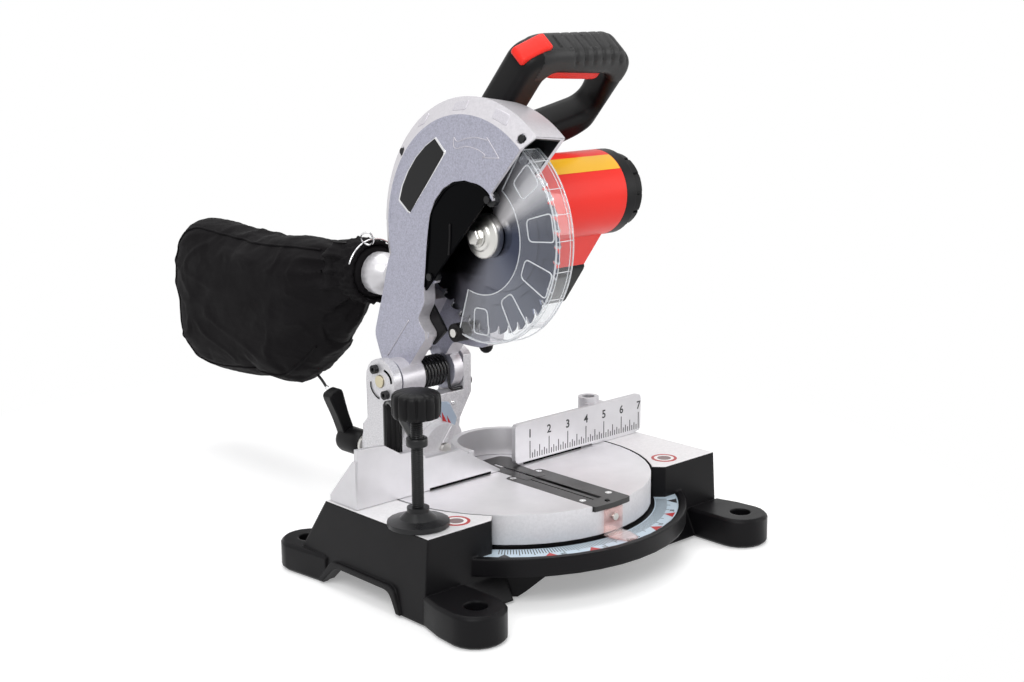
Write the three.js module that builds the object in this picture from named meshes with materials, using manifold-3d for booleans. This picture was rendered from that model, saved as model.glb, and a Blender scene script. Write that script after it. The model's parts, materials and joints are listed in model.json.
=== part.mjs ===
// A cordless compound mitre saw on its bench base, with its head raised.
// Millimetres. +X is the user's right, +Y is away from the user and +Z is up.
// The base's floor is z = 0, and the mitre axis is x = 0 inside the saw's group.
import * as THREE from "three";
import { mergeVertices } from "three/addons/utils/BufferGeometryUtils.js";
import Module from "manifold-3d";

// Clearances and counts that every piece shares
const GAP = 0.3;
const OVERRUN = 1;
const WELD = 1e-4;
const SLIVER = 0.02;
const ROUND = 20;
const ROUND_LARGE = 48;
const ROUND_SMALL = 10;
const SIDES = [-1, 1];
const HALF_TURN = 180;
const FULL_TURN = 360;
const FRONT_ANGLE = -90;

// Turntable
const TABLE_HEIGHT = 76;
const TABLE_RADIUS = 131.7;
const TABLE_THICK = 27;
const TABLE_DECK = 8;
const TABLE_RIM = 6.5;
const TABLE_GAP = 2.3;
const WELL_RADIUS = TABLE_RADIUS + TABLE_GAP;
const TABLE_BOTTOM = TABLE_HEIGHT - TABLE_THICK;
const TABLE_HUB_RADIUS = 24;
const TABLE_HUB_DROP = 12;
const TABLE_RIB = 5;
const TABLE_RIB_DEEP = 12;
const TABLE_RIB_COUNT = 8;
const TRUNNION_RADIUS = 26;
const TRUNNION_THICK = 10;
const BOLT_LUG_RADIUS = 12;

// Kerf insert and the slot for the blade
const INSERT_HALF = 22.9;
const INSERT_THICK = 4.7;
const INSERT_BACK = 16;
const INSERT_CORNER = 6;
const KERF_HALF = 2.5;
const KERF_MARGIN = 15.7;
const KERF_FRONT = TABLE_RADIUS - KERF_MARGIN;
const KERF_BACK = 12;
const SLIT_X = 8;
const SLIT_HALF = 0.8;
const SLIT_BACK = 26;
const INSERT_SCREW_X = 16.5;
const INSERT_SCREW_BACK = 21;
const INSERT_SCREW_MARGIN = 20.7;
const INSERT_SCREW_FRONT = TABLE_RADIUS - INSERT_SCREW_MARGIN;
const INSERT_SCREW_RADIUS = 3.2;
const INSERT_SCREW_HEAD = 2.4;
const INSERT_SCREW_SHANK = 1.6;
const INSERT_SCREW_LENGTH = 9;

// Mitre pointer, a bent clear plate, and its screw
const POINTER_HALF = 11;
const POINTER_THICK = 1.5;
const POINTER_TOP_DROP = 5.3;
const POINTER_OUT = 25.3;
const POINTER_REACH = TABLE_RADIUS + POINTER_OUT;
const POINTER_TIP_SHARE = 0.55;
const POINTER_SCREW_DROP = 13;
const POINTER_SCREW_RADIUS = 3.4;
const POINTER_SCREW_HEAD = 2.2;
const POINTER_SCREW_SHANK = 1.7;
const POINTER_SCREW_LENGTH = 5;

// Base casting
const BASE_WALL = 6;
const BASE_CLEAR = 3;
const WELL_DEEP = 23;
const WELL_FLOOR = TABLE_BOTTOM - WELL_DEEP;
const WELL_FLOOR_THICK = 6;
const WELL_SKIRT = 5;
const BASE_HUB_RADIUS = 20;
const BASE_RIB = 4;
const BASE_RIB_COUNT = 8;
const FLOOR_HOLE_IN = 42;
const FLOOR_HOLE_MARGIN = 22;
const FLOOR_HOLE_OUT = WELL_RADIUS - FLOOR_HOLE_MARGIN;
const FLOOR_HOLE_ANGLE = 34;
const WING_BESIDE = 47;
const WING_OUT = WELL_RADIUS + WING_BESIDE;
const WING_SPREAD = 6;
const WING_OVERLAP = 38;
const WING_IN = WELL_RADIUS - WING_OVERLAP;
const WING_FRONT = 95.4;
const WING_FRONT_SPREAD = 11;
const WING_CREASE = 25;
const WING_BACK = 44.9;
const WING_BACK_LOW = 77;
const WING_BACK_CREASE = 27;
const WING_BACK_SPREAD = 7;
const WING_CORNER_WIDE = 23;
const WING_CORNER_IN = WELL_RADIUS - WING_CORNER_WIDE;
const WING_CORNER_CUT = 9;
const BRACKET_PASS = 8;
const BRACKET_PASS_RADIUS = WELL_RADIUS + BRACKET_PASS;
const BRACKET_PASS_BACK = 38;
const BRACKET_PASS_DEPTH = 14;
const ARCH_FRONT = 62;
const ARCH_FRONT_TOP = 51;
const ARCH_BACK = 48;
const ARCH_BACK_TOP = 25;
const ARCH_HEIGHT = 21;
const ARCH_CORNER = 7;
const ARCH_RIM = 5;
const ARCH_RIM_PROUD = 1.5;
const LUG_RADIUS = 26;
const LUG_CHAMFER = 2.5;
const LUG_FRONT_INSET = 12;
const LUG_FRONT_X = WING_OUT - LUG_FRONT_INSET;
const LUG_FRONT_Y = 140;
const LUG_FRONT_HEIGHT = 28.7;
const LUG_BACK_INSET = 14;
const LUG_BACK_X = WING_OUT - LUG_BACK_INSET;
const LUG_BACK_Y = 92;
const LUG_BACK_HEIGHT = 27;
const LUG_NECK_OUT = 12;
const LUG_NECK_X = WING_OUT + LUG_NECK_OUT;
const LUG_NECK_Y = 118;
const LUG_HOLE_RADIUS = 6;
const LUG_BORE_RADIUS = 10;
const LUG_BORE_FLOOR = 10;
const FOOT_OUT = 20;
const FOOT_IN = 9.5;
const FOOT_THICK = 3.2;
const FOOT_PROUD = 1;

// Mitre scale quadrant in front of the turntable
const RING_WIDE = 33.3;
const RING_OUT = TABLE_RADIUS + RING_WIDE;
const RING_LIP = 6;
const RING_DROP = 28;
const RING_TOP = TABLE_HEIGHT - RING_DROP;
const RING_LIP_RISE = 2;
const RING_LABEL = RING_TOP - RING_LIP_RISE;
const RING_DEEP = 16;
const RING_BOTTOM = RING_TOP - RING_DEEP;
const RING_DECK = 5;
const RING_HALF_ANGLE = 55;
const LEDGE_UNDER = 2.7;
const LEDGE_WALL = 7;
const LEDGE_OUT = TABLE_RADIUS - LEDGE_UNDER;
const LEDGE_IN = LEDGE_OUT - LEDGE_WALL;
const FRONT_ARCH_LOW = 92;
const FRONT_ARCH_TOP = 68;

// Turntable bolt
const CENTRE_BOLT_RADIUS = 5;
const CENTRE_BOLT_HEAD_RADIUS = 9;
const CENTRE_BOLT_HEAD = 6;
const CENTRE_BOLT_DROP = 16;
const CENTRE_BOLT_TOP = TABLE_HEIGHT - CENTRE_BOLT_DROP;

// Fence
const FENCE_FACE = 3.5;
const FENCE_THICK = 5;
const FENCE_LEFT_SHORT = 2.7;
const FENCE_LEFT_END = WING_OUT - FENCE_LEFT_SHORT;
const FENCE_LEFT_IN = 10.3;
const FENCE_LEFT_HEIGHT = 53.7;
const FENCE_RIGHT_IN = 9.5;
const FENCE_RIGHT_PAST = 3.5;
const FENCE_RIGHT_END = WING_OUT + FENCE_RIGHT_PAST;
const FENCE_RIGHT_HEIGHT = 40;
const FENCE_RIGHT_GAP = 1.7;
const FENCE_CORNER = 5;
const FENCE_STEP_SHARES = [[0.7, 0.756], [0.563, 0.738], [0.533, 0.57], [0.284, 0.562], [0.258, 0.507]];
const FENCE_TOP_SHARES = [[0.986, 0.995], [0.808, 0.963]];
const BOW_RADIUS = 48;
const BOW_WALL = 6;
const BOW_BACK = 12;
const BOW_HEIGHT = 26;
const BOW_PAST_ANGLE = 10;
const FENCE_FOOT_INSET = 3;
const FENCE_FOOT_WIDE = 50;
const FENCE_FOOT_OUT = WING_OUT - FENCE_FOOT_INSET;
const FENCE_FOOT_IN = FENCE_FOOT_OUT - FENCE_FOOT_WIDE;
const FENCE_FOOT_BACK = 42;
const FENCE_FOOT_THICK = 6;
const GUSSET_THICK = 6;
const GUSSET_HEIGHT_SHARE = 0.8;
const FENCE_BOLT_INSET = 23;
const FENCE_BOLT_X = WING_OUT - FENCE_BOLT_INSET;
const FENCE_BOLT_Y = 27;
const FENCE_BOLT_RADIUS = 4;
const FENCE_BOLT_HEAD_RADIUS = 7;
const FENCE_BOLT_HEAD = 6;
const FENCE_BOLT_LENGTH = 20;
const POST_BOSS_RADIUS = 10.5;
const POST_BOSS_LEFT = 36;
const POST_BOSS_RIGHT = 45;

// Work clamp
const POST_INSET = 56;
const POST_X = WING_OUT - POST_INSET;
const POST_Y = 20;
const POST_RADIUS = 6;
const POST_RISE = 81;
const POST_TOP = TABLE_HEIGHT + POST_RISE;
const POST_BAR_HALF = 4.6;
const CLAMP_ASIDE = 38.1;
const CLAMP_X = POST_X + CLAMP_ASIDE;
const CLAMP_Y = 61.5;
const ARM_RISE = 70;
const ARM_BOTTOM = TABLE_HEIGHT + ARM_RISE;
const ARM_TALL = 10;
const ARM_TOP = ARM_BOTTOM + ARM_TALL;
const ARM_HALF = 4.6;
const ARM_EDGE = 1;
const ARM_SOCKET_RADIUS = 10;
const COLLAR_RADIUS = 9.5;
const SCREW_RADIUS = 5;
const SCREW_CREST = 0.5;
const SCREW_ABOVE = 8;
const SCREW_BOTTOM = TABLE_HEIGHT + SCREW_ABOVE;
const KNOB_RISE = 98;
const KNOB_BOTTOM = TABLE_HEIGHT + KNOB_RISE;
const KNOB_TALL = 25;
const KNOB_TOP = KNOB_BOTTOM + KNOB_TALL;
const KNOB_RADIUS = 21;
const KNOB_FLUTE = 1.1;
const KNOB_FLUTES = 16;
const PAD_RADIUS = 26.5;
const PAD_LIFT = 0.6;
const PAD_THICK = 4;
const PAD_HUB_RADIUS = 9.5;
const PAD_HUB_TOP = 16.5;
const PAD_SHOULDER_SHARE = 0.6;
const PAD_DOME = 6.4;

// Tilting bracket, from the tilt axis, which lies at the height of the table
const PIVOT_RISE = 73;
const EAR_RADIUS = 22;
const EAR_LEFT_OUT = 56;
const EAR_LEFT_IN = 46;
const EAR_RIGHT_OUT = 46;
const EAR_RIGHT_IN = 36;
const BRACKET_INSET = 24.4;
const BRACKET_FRONT = TABLE_RADIUS - BRACKET_INSET;
const PIVOT_BEHIND = 16.7;
const PIVOT_BACK = BRACKET_FRONT + PIVOT_BEHIND;
const BRACKET_WALL = 8;
const BRACKET_DEEP = 37.7;
const BRACKET_BACK = BRACKET_FRONT + BRACKET_DEEP;
const BRACKET_LOW_DEEP = 45.7;
const BRACKET_LOW_BACK = BRACKET_FRONT + BRACKET_LOW_DEEP;
const BRACKET_STEP = 25;
const BRACKET_BOTTOM = 2;
const BRACKET_LEDGE = 52;
const BRACKET_LEDGE_DEEP = 18;
const BRACKET_LEDGE_THICK = 6;
const BRACKET_SIDE_SHARES = [[1, 1], [1, 0.51], [0.67, 0.255], [0.63, 0.117], [0.63, -0.02]];
const BRACKET_BELL_RADIUS = 34;
const BRACKET_HUB_RADIUS = 18;
const TILT_BOLT_RADIUS = 6;
const TILT_BOLT_HEAD_RADIUS = 10;
const TILT_BOLT_HEAD = 7;
const TILT_BOLT_INSIDE = 15.3;
const TILT_BOLT_AHEAD = BRACKET_FRONT - TILT_BOLT_INSIDE;
const SLOT_RADIUS = 50;
const SLOT_HALF = 5.2;
const SLOT_WALL = 3.3;
const SLOT_ANGLE = 45;
const POINTER_BEVEL_X = 9;
const POINTER_BEVEL_RISE = 23;
const POINTER_BEVEL_THICK = 1.6;
const POINTER_BEVEL_HALF = 4;

// Bevel lock lever and its bolt
const BEVEL_BOLT_RADIUS = 4.5;
const BEVEL_COLLAR_RADIUS = 11;
const BEVEL_COLLAR = 11;
const BEVEL_RISE = 2;
const LEVER_HUB_RADIUS = 12.5;
const LEVER_HUB = 27;
const LEVER_LEAN = 20;
const LEVER_LENGTH = 57;
const LEVER_TIP_HALF = 9;
const LEVER_NECK_HALF = 6.5;
const LEVER_THICK = 13;
const LEVER_BORE = 20;

// Chop pivot, its screws, lock pin and return spring
const SHAFT_RADIUS = 6;
const SHAFT_PROUD = 1.5;
const EAR_SCREW_RADIUS = 4.5;
const EAR_SCREW_HEAD = 4.5;
const EAR_SCREW_SHANK = 2.3;
const EAR_SCREW_LENGTH = 8;
const EAR_SCREW_UPPER_SHARES = [0.25, 0.518];
const EAR_SCREW_LOWER_SHARES = [-0.482, -0.518];
const LOCK_PIN_RADIUS = 3.5;
const LOCK_PIN_HEAD_RADIUS = 6;
const LOCK_PIN_HEAD = 9;
const LOCK_PIN_BACK = 2.2;
const LOCK_PIN_DROP = 16.1;
const SPRING_WIRE = 3.2;
const SPRING_RADIUS = 14.2;
const SPRING_LEFT = -14.6;
const SPRING_PITCH = 4.1;
const SPRING_HALF_ANGLES = 7.25;
const SPRING_STEPS = 8;
const SPRING_SIDES = 5;
const SPRING_START_ANGLE = 90;
const SPRING_LEG_OUT = 35.6;
const SPRING_LEG_DROP = 19;
const SPRING_BEND = 5;

// Blade, flanges and drive
const BLADE_RADIUS = 92.5;
const BLADE_HALF = 0.9;
const BLADE_TEETH = 40;
const TOOTH_DEPTH = 6;
const BORE_RADIUS = 8;
const FLANGE_RADIUS = 20;
const FLANGE_THICK = 4.5;
const FLANGE_LIP = 1.5;
const FLANGE_FACE_SHARE = 0.62;
const ARBOR_HEAD_RADIUS = 8.5;
const ARBOR_HEAD = 6;
const ARBOR_SHANK = 4;
const ARBOR_LENGTH = 16;
const SPINDLE_END = 31;
const SPINDLE_TAIL = 5.5;
const SPINDLE_TAIL_RADIUS = 4.5;
const GEAR_MODULE = 1.166;
const GEAR_TEETH = 36;
const PINION_TEETH = 12;
const GEAR_LEFT = 21;
const GEAR_WIDE = 8;
const GEAR_BACKLASH = 0.35;
const GEAR_PRESSURE_ANGLE = 20;
const GEAR_TIP_SHARE = 0.9;
const GEAR_ROOT_SHARE = 1.15;
const GEAR_BORE = 7.4;

// Head casting, from the blade's centre
const BLADE_AHEAD = 97.5;
const BLADE_ABOVE = 146.5;
const GUARD_FACE = 30;
const GUARD_ROUND_BLADE = 35;
const GUARD_RADIUS = BLADE_RADIUS + GUARD_ROUND_BLADE;
const GUARD_BEVEL = 10;
const GUARD_BEVEL_WIDE = 15.5;
const GUARD_FACE_RADIUS = GUARD_RADIUS - GUARD_BEVEL_WIDE;
const GUARD_RIGHT = 18;
const GUARD_TAPER = 5.5;
const GUARD_RIGHT_RADIUS = GUARD_RADIUS - GUARD_TAPER;
const GUARD_WALL = 3;
const GUARD_RIGHT_WALL = 5;
const CUT_ANGLE = 43.3;
const CUT_RISE = 5;
const COVER_RADIUS = 53;
const COVER_DEPTH = 1;
const COVER_THICK = 2.5;
const COVER_TAIL = 60;
const COVER_TAIL_DROP = 50;
const ARM_INSIDE = 16;
const ARM_LEFT_SHARES = [
  [0.57, -0.065], [0.35, -0.26], [0.338, -0.384], [0.406, -0.486], [0.321, -0.565], [0.508, -0.787],
  [0.668, -0.832], [0.724, -0.753], [0.781, -0.616], [0.702, -0.378], [0.645, -0.185],
];
const ARM_RIGHT_SHARES = [
  [0.474, -0.747], [0.39, -0.64], [0.3, -0.645], [0.22, -0.645], [0.135, -0.64], [0.085, -0.6], [0.085, -0.52],
  [0.19, -0.3], [0.361, -0.2], [0.616, -0.349], [0.702, -0.577], [0.645, -0.776],
];
const ARM_WEB_SHARES = [
  [0.432, -0.398], [0.534, -0.545], [0.6, -0.65], [0.705, -0.59], [0.64, -0.42], [0.557, -0.341],
];
const HUB_RADIUS = 20;
const HUB_LEFT_OUT = 43;
const HUB_LEFT_IN = 15;
const HUB_RIGHT_IN = 22;
const HUB_RIGHT_OUT = 34;
const ARM_RIGHT_OUT = 31;
const SPRING_ROOM = 24;
const BEARING_RADIUS = 23.5;
const BEARING_START = 7.5;
const BEARING_FLANGE = 31;
const OUTLET_X = 4;
const OUTLET_DROP = 54.5;
const COVER_SCREW_SHARES = [[-0.566, 0.717], [0.981, -0.792]];
const COVER_BOSS_RADIUS = 7;
const COVER_BOSS = 8;
const COVER_SCREW_RADIUS = 3.6;
const COVER_SCREW_HEAD = 1.8;
const COVER_SCREW_SHANK = 1.6;
const GUARD_SCREW_ANGLES = [127, 38];
const GUARD_SCREW_INSET = 9.5;
const GUARD_SCREW_REACH = GUARD_RADIUS - GUARD_SCREW_INSET;
const GUARD_SCREW_RADIUS = 3.6;
const GUARD_SCREW_HEAD = 2.6;
const GUARD_SCREW_SHANK = 1.6;
const GUARD_SCREW_LENGTH = 7;
const GUARD_SCREW_SEAT = 24;
const DUST_GUIDE_THICK = 3;
const DUST_GUIDE_SHARES = [[0.373, -0.406], [0.262, -0.54], [0.369, -0.634], [0.44, -0.52]];

// Lower guard
const LOWER_ROUND_BLADE = 7.5;
const LOWER_RADIUS = BLADE_RADIUS + LOWER_ROUND_BLADE;
const LOWER_LEFT = 12;
const LOWER_RIGHT = 10;
const LOWER_WALL = 2;
const LOWER_BAND = 50;
const LOWER_INNER = LOWER_RADIUS - LOWER_BAND;
const LOWER_RIGHT_BAND = 34;
const LOWER_RIGHT_INNER = LOWER_RADIUS - LOWER_RIGHT_BAND;
const LOWER_HUB = 8;
const LOWER_START_ANGLE = 132;
const LOWER_END_ANGLE = 284;
const LOWER_STEPS = 28;
const LOWER_SPOKE_HALF = 10;
const SPOKE_ANGLE = 10;
const PANEL_COUNT = 6;
const PANEL_INSET = 7;
const PANEL_TALL = 27;
const PANEL_OUT = LOWER_RADIUS - PANEL_INSET;
const PANEL_IN = PANEL_OUT - PANEL_TALL;
const PANEL_HALF_ANGLE = 7.5;
const PANEL_LINE = 1.4;
const PANEL_PROUD = 0.8;

// Roller and bumper under the guard
const ROLLER_CLEAR = 9.384;
const ROLLER_ANGLE = -69.607;
const ROLLER_REACH = BLADE_RADIUS + ROLLER_CLEAR;
const ROLLER_RADIUS = 9;
const ROLLER_WIDE = 14;
const ROLLER_BOLT_RADIUS = 2.6;
const ROLLER_BOLT_HEAD_RADIUS = 4.2;
const ROLLER_BOLT_HEAD = 2;
const BUMPER_X = 22;
const BUMPER_Y = 31;
const BUMPER_INSET = 15.5;
const BUMPER_DROP = GUARD_RADIUS - BUMPER_INSET;
const BUMPER_RADIUS = 7;
const BUMPER_TALL = 8;
const BUMPER_STUD_RADIUS = 2.4;
const BUMPER_STUD = 4;

// Motor, from its own axis
const MOTOR_ANGLE = 71.241;
const BARREL_RADIUS = 42;
const BARREL_RIGHT = 150;
const BARREL_CHAMFER = 3;
const GEARCASE_RADIUS = 29;
const GEARCASE_RIGHT = 40;
const CHAMBER_RIGHT = 31.3;
const BEARING_WALL_RIGHT = 38;
const CHAMBER_GAP = 2;
const MOTOR_BORE = 27;
const ROTOR_RADIUS = 22;
const ROTOR_LEFT = 48;
const ROTOR_RIGHT = 118;
const COMMUTATOR_RADIUS = 13;
const COMMUTATOR_RIGHT = 136;
const ROTOR_SHAFT = 4;
const ROTOR_SHAFT_RIGHT = 157;
const CAP_RIGHT = 183;
const CAP_STEP = 163;
const CAP_STEP_RADIUS = 37;
const CAP_FACE_RADIUS = 31;
const CAP_POCKET = 12;
const CAP_FINS = 12;
const CAP_FIN = 3;
const CAP_BUMP_RADIUS = 6;
const CAP_BUMP_REACH = 33;
const CAP_BUMP_ANGLE = 55;

// Battery and its foot, from the pack's upper front edge
const PACK_Y = 19.5;
const PACK_DROP = 47.5;
const PACK_LEAN = 53.9;
const PACK_LEFT = 78;
const PACK_LENGTH = 54;
const PACK_THICK = 36;
const PACK_EDGE = 3;
const TONGUE_THICK = 6;
const TONGUE_HALF = 16;
const TONGUE_FLARE = 4;
const TONGUE_SHORT = 4;
const PACK_FOOT_INSET = 6;
const PACK_FOOT_UP = 45;
const PACK_FOOT_DOWN = 38;
const PACK_FOOT_THICK = 10;

// Handle, from the blade's centre, in a plane that leans forward
const HANDLE_LEAN = 41;
const HANDLE_SUNK = 42.3;
const HANDLE_BEHIND = GUARD_RADIUS - HANDLE_SUNK;
const HANDLE_THICK = 34;
const HANDLE_LEFT = 10;
const HANDLE_WIDE = 140;
const HANDLE_TALL = 158;
const HANDLE_ROUND = 9;
const HANDLE_EDGE = 3;
const HANDLE_SHARES = [
  [0, 0.32], [0, 0.905], [0.16, 0.994], [0.83, 1], [1, 0.885], [1, 0.366], [0.9, 0.28],
  [0.7, 0.19], [0.38, 0.07], [0.38, -0.03], [0.07, -0.03],
];
const HANDLE_GAP_SHARES = [[0.235, 0.834], [0.843, 0.803], [0.915, 0.49], [0.62, 0.385], [0.235, 0.28]];
const HANDLE_PAD_LEFT = 24;
const HANDLE_PAD_RIGHT = 60;
const HANDLE_PAD_TALL = 26;
const GROOVE_COUNT = 6;
const GROOVE_START_SHARE = 0.36;
const GROOVE_STEP = 12;
const GROOVE_HALF = 1.6;
const GROOVE_DEPTH = 1.6;
const TRIGGER_START_SHARE = 0.255;
const TRIGGER_END_SHARE = 0.79;
const TRIGGER_WIDE = 15;
const TRIGGER_PROUD = 5;
const TRIGGER_TRAVEL = 5;
const TRIGGER_BODY = 12;
const TRIGGER_CORNER = 4;
const LOCKOFF_WIDE = 17;
const LOCKOFF_TRAVEL = 4;
const LOCKOFF_PROUD = 2;
const LOCKOFF_DEPTH = 9;
const LOCKOFF_SHARES = [[0, 0.865], [0, 0.905], [0.16, 0.994], [0.2, 0.995]];

// Dust elbow, clip ring and bag, from the blade's centre
const ELBOW_GAP = 1;
const ELBOW_START = GUARD_RIGHT_RADIUS + ELBOW_GAP;
const ELBOW_PIPE = 23;
const ELBOW_DOME = ELBOW_START + ELBOW_PIPE;
const ELBOW_TO_RIM = 40.5;
const ELBOW_RIM = ELBOW_START + ELBOW_TO_RIM;
const ELBOW_LENGTH = 61;
const ELBOW_STUB = ELBOW_START + ELBOW_LENGTH;
const ELBOW_RADIUS = 13;
const ELBOW_DOME_RADIUS = 21.5;
const ELBOW_SHOULDER_SHARE = 0.85;
const ELBOW_STUB_RADIUS = 18.5;
const ELBOW_BORE = 9.5;
const BAG_NECK_AT = 43;
const BAG_NECK_START = ELBOW_START + BAG_NECK_AT;
const BAG_NECK_LENGTH = 14;
const BAG_NECK_END = BAG_NECK_START + BAG_NECK_LENGTH;
const BAG_NECK_RADIUS = 28;
const BAG_HALF = 42;
const BAG_LENGTH = 350;
const BAG_HEIGHT = 173;
const BAG_TOP = -29;
const BAG_EDGE = 12;
const BAG_ROUND = 26;
const BAG_SHARES = [
  [0.0, 0.03], [0.2, 0.0], [0.91, 0.0], [1.0, 0.4], [0.955, 0.9], [0.8, 1.0], [0.31, 0.94], [0.2, 0.78],
  [0.0, 0.36],
];
const RING_WIRE = 1.5;
const RING_AT = 6;
const RING_PLACE = BAG_NECK_START + RING_AT;

const X = new THREE.Vector3(1, 0, 0);
const Y = new THREE.Vector3(0, 1, 0);
const Z = new THREE.Vector3(0, 0, 1);
const radians = THREE.MathUtils.degToRad;

const wasm = await Module();
wasm.setup();

// A closed geometry as a solid with its faces turned outward.
function solid(geometry) {
  const bare = new THREE.BufferGeometry();
  bare.setAttribute("position", geometry.getAttribute("position"));
  bare.setIndex(geometry.index);
  const merged = mergeVertices(bare, WELD);
  const places = Float32Array.from(merged.getAttribute("position").array);
  const corners = merged.index.array;
  const corner = (i) => new THREE.Vector3().fromArray(places, corners[i] * 3);
  const faces = [];
  let volume = 0;
  for (let i = 0; i < corners.length; i += 3) {
    const [a, b, c] = [corners[i], corners[i + 1], corners[i + 2]];
    if (a === b || b === c || a === c) continue;
    faces.push([a, b, c]);
    volume += corner(i).dot(corner(i + 1).cross(corner(i + 2)));
  }
  if (volume < 0) faces.forEach((face) => face.reverse());
  const triVerts = Uint32Array.from(faces.flat());
  return new wasm.Manifold(new wasm.Mesh({ numProp: 3, vertProperties: places, triVerts }));
}

function joined(solids) {
  return solids.reduce((whole, next) => whole.add(next));
}

function cutBy(whole, cutters) {
  return cutters.reduce((rest, cutter) => rest.subtract(cutter), whole);
}

// A mesh whose name is its piece's name.
function piece(name, shape, [color, roughness, metalness]) {
  const { vertProperties, triVerts } = shape.simplify(SLIVER).getMesh();
  const geometry = new THREE.BufferGeometry();
  geometry.setAttribute("position", new THREE.BufferAttribute(vertProperties, 3));
  geometry.setIndex(new THREE.BufferAttribute(triVerts, 1));
  geometry.computeVertexNormals();
  const material = new THREE.MeshStandardMaterial({ color, roughness, metalness, flatShading: true });
  const mesh = new THREE.Mesh(geometry, material);
  mesh.name = name;
  return mesh;
}

function group(place, ...children) {
  const made = new THREE.Group();
  made.position.set(...place);
  made.add(...children);
  return made;
}

// Points of an arc, in degrees from the first axis of the outline's plane.
function arc(radius, from, to, steps, u = 0, v = 0) {
  const points = [];
  for (let i = 0; i <= steps; i++) {
    const angle = radians(from + ((to - from) * i) / steps);
    points.push([u + radius * Math.cos(angle), v + radius * Math.sin(angle)]);
  }
  return points;
}

function circle(radius, steps = ROUND, u = 0, v = 0) {
  return arc(radius, 0, FULL_TURN, steps, u, v).slice(1);
}

function rectangle(u0, u1, v0, v1) {
  return [[u0, v0], [u1, v0], [u1, v1], [u0, v1]];
}

function ringSector(inner, outer, from, to, steps) {
  return [...arc(outer, from, to, steps), ...arc(inner, to, from, steps)];
}

// Shares of a width and a height, set off from a corner.
function scaled(shares, wide, tall, u = 0, v = 0) {
  return shares.map(([a, b]) => [u + a * wide, v + b * tall]);
}

// The same outline with each corner drawn as a curve that starts a given distance before it.
function softened(points, setback, steps = 3) {
  const soft = [];
  points.forEach(([u, v], i) => {
    const corner = new THREE.Vector2(u, v);
    const reach = (other) => {
      const toward = new THREE.Vector2(...other).sub(corner);
      const share = Math.min(setback / toward.length(), 0.49);
      return corner.clone().add(toward.multiplyScalar(share));
    };
    const start = reach(points.at(i - 1));
    const end = reach(points[(i + 1) % points.length]);
    const curve = new THREE.QuadraticBezierCurve(start, corner, end);
    curve.getPoints(steps).forEach((point) => soft.push(point.toArray()));
  });
  return soft;
}

// How an outline's plane lies for each direction of thickness, and a turned profile for each axis.
const PRISM_TURN = {
  x: new THREE.Matrix4().makeBasis(Y, Z, X),
  y: new THREE.Matrix4().makeBasis(X, Z, Y.clone().negate()),
  z: new THREE.Matrix4(),
};
const LATHE_TURN = {
  x: new THREE.Matrix4().makeBasis(Y, X, Z.clone().negate()),
  y: new THREE.Matrix4(),
  z: new THREE.Matrix4().makeBasis(X, Z, Y.clone().negate()),
};

// An outline with thickness along one axis: (y, z) along x, (x, z) along y and (x, y) along z.
function prism(axis, points, from, to, edge = 0, holes = []) {
  const vectors = (list) => list.map(([u, v]) => new THREE.Vector2(u, v));
  const shape = new THREE.Shape(vectors(points));
  holes.forEach((hole) => shape.holes.push(new THREE.Path(vectors(hole))));
  const geometry = new THREE.ExtrudeGeometry(shape, {
    depth: Math.abs(to - from) - 2 * edge,
    bevelEnabled: edge > 0,
    bevelThickness: edge,
    bevelSize: edge,
    bevelOffset: -edge,
    bevelSegments: 1,
  });
  const start = axis === "y" ? -Math.max(from, to) : Math.min(from, to);
  geometry.translate(0, 0, start + edge);
  geometry.applyMatrix4(PRISM_TURN[axis]);
  return solid(geometry);
}

// A profile of (radius, distance along the axis) turned about one axis through a place.
function turned(axis, profile, sides = ROUND, place = [0, 0, 0]) {
  const points = profile.map(([radius, along]) => new THREE.Vector2(radius, along));
  const onAxis = profile[0][0] === 0 && profile.at(-1)[0] === 0;
  const closed = onAxis ? points : [...points, points[0].clone()];
  const geometry = new THREE.LatheGeometry(closed, sides);
  geometry.applyMatrix4(LATHE_TURN[axis]);
  geometry.translate(...place);
  return solid(geometry);
}

function rod(axis, radius, from, to, place = [0, 0, 0], sides = ROUND) {
  return turned(axis, [[0, from], [radius, from], [radius, to], [0, to]], sides, place);
}

function tube(axis, inner, outer, from, to, place = [0, 0, 0], sides = ROUND) {
  return turned(axis, [[inner, from], [outer, from], [outer, to], [inner, to]], sides, place);
}

function block([x0, x1], [y0, y1], [z0, z1]) {
  return prism("z", rectangle(x0, x1, y0, y1), z0, z1);
}

function ordered(side, near, far) {
  return side > 0 ? [near, far] : [-far, -near];
}

// Finishes: colour, roughness and metalness
const BLACK_CAST = [0x1b1b1d, 0.55, 0.1];
const BLACK_PLASTIC = [0x1a1a1c, 0.6, 0];
const BLACK_STEEL = [0x1c1c1e, 0.4, 0.6];
const RUBBER = [0x151515, 0.85, 0];
const MACHINED = [0xd9dadc, 0.35, 0.85];
const SILVER_PAINT = [0xaab1bd, 0.45, 0.5];
const STEEL = [0xb9bbbe, 0.3, 0.95];
const BLADE_STEEL = [0x9a9da3, 0.25, 0.95];
const BRASS = [0xb59a5a, 0.4, 0.9];
const RED_PLASTIC = [0xd8231d, 0.4, 0];
const CLEAR_PLASTIC = [0xe6ecef, 0.1, 0];
const CLEAR_RED = [0xd98a80, 0.2, 0];
const COPPER = [0xa86b3c, 0.4, 0.8];
const CLOTH = [0x121212, 0.95, 0];

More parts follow.
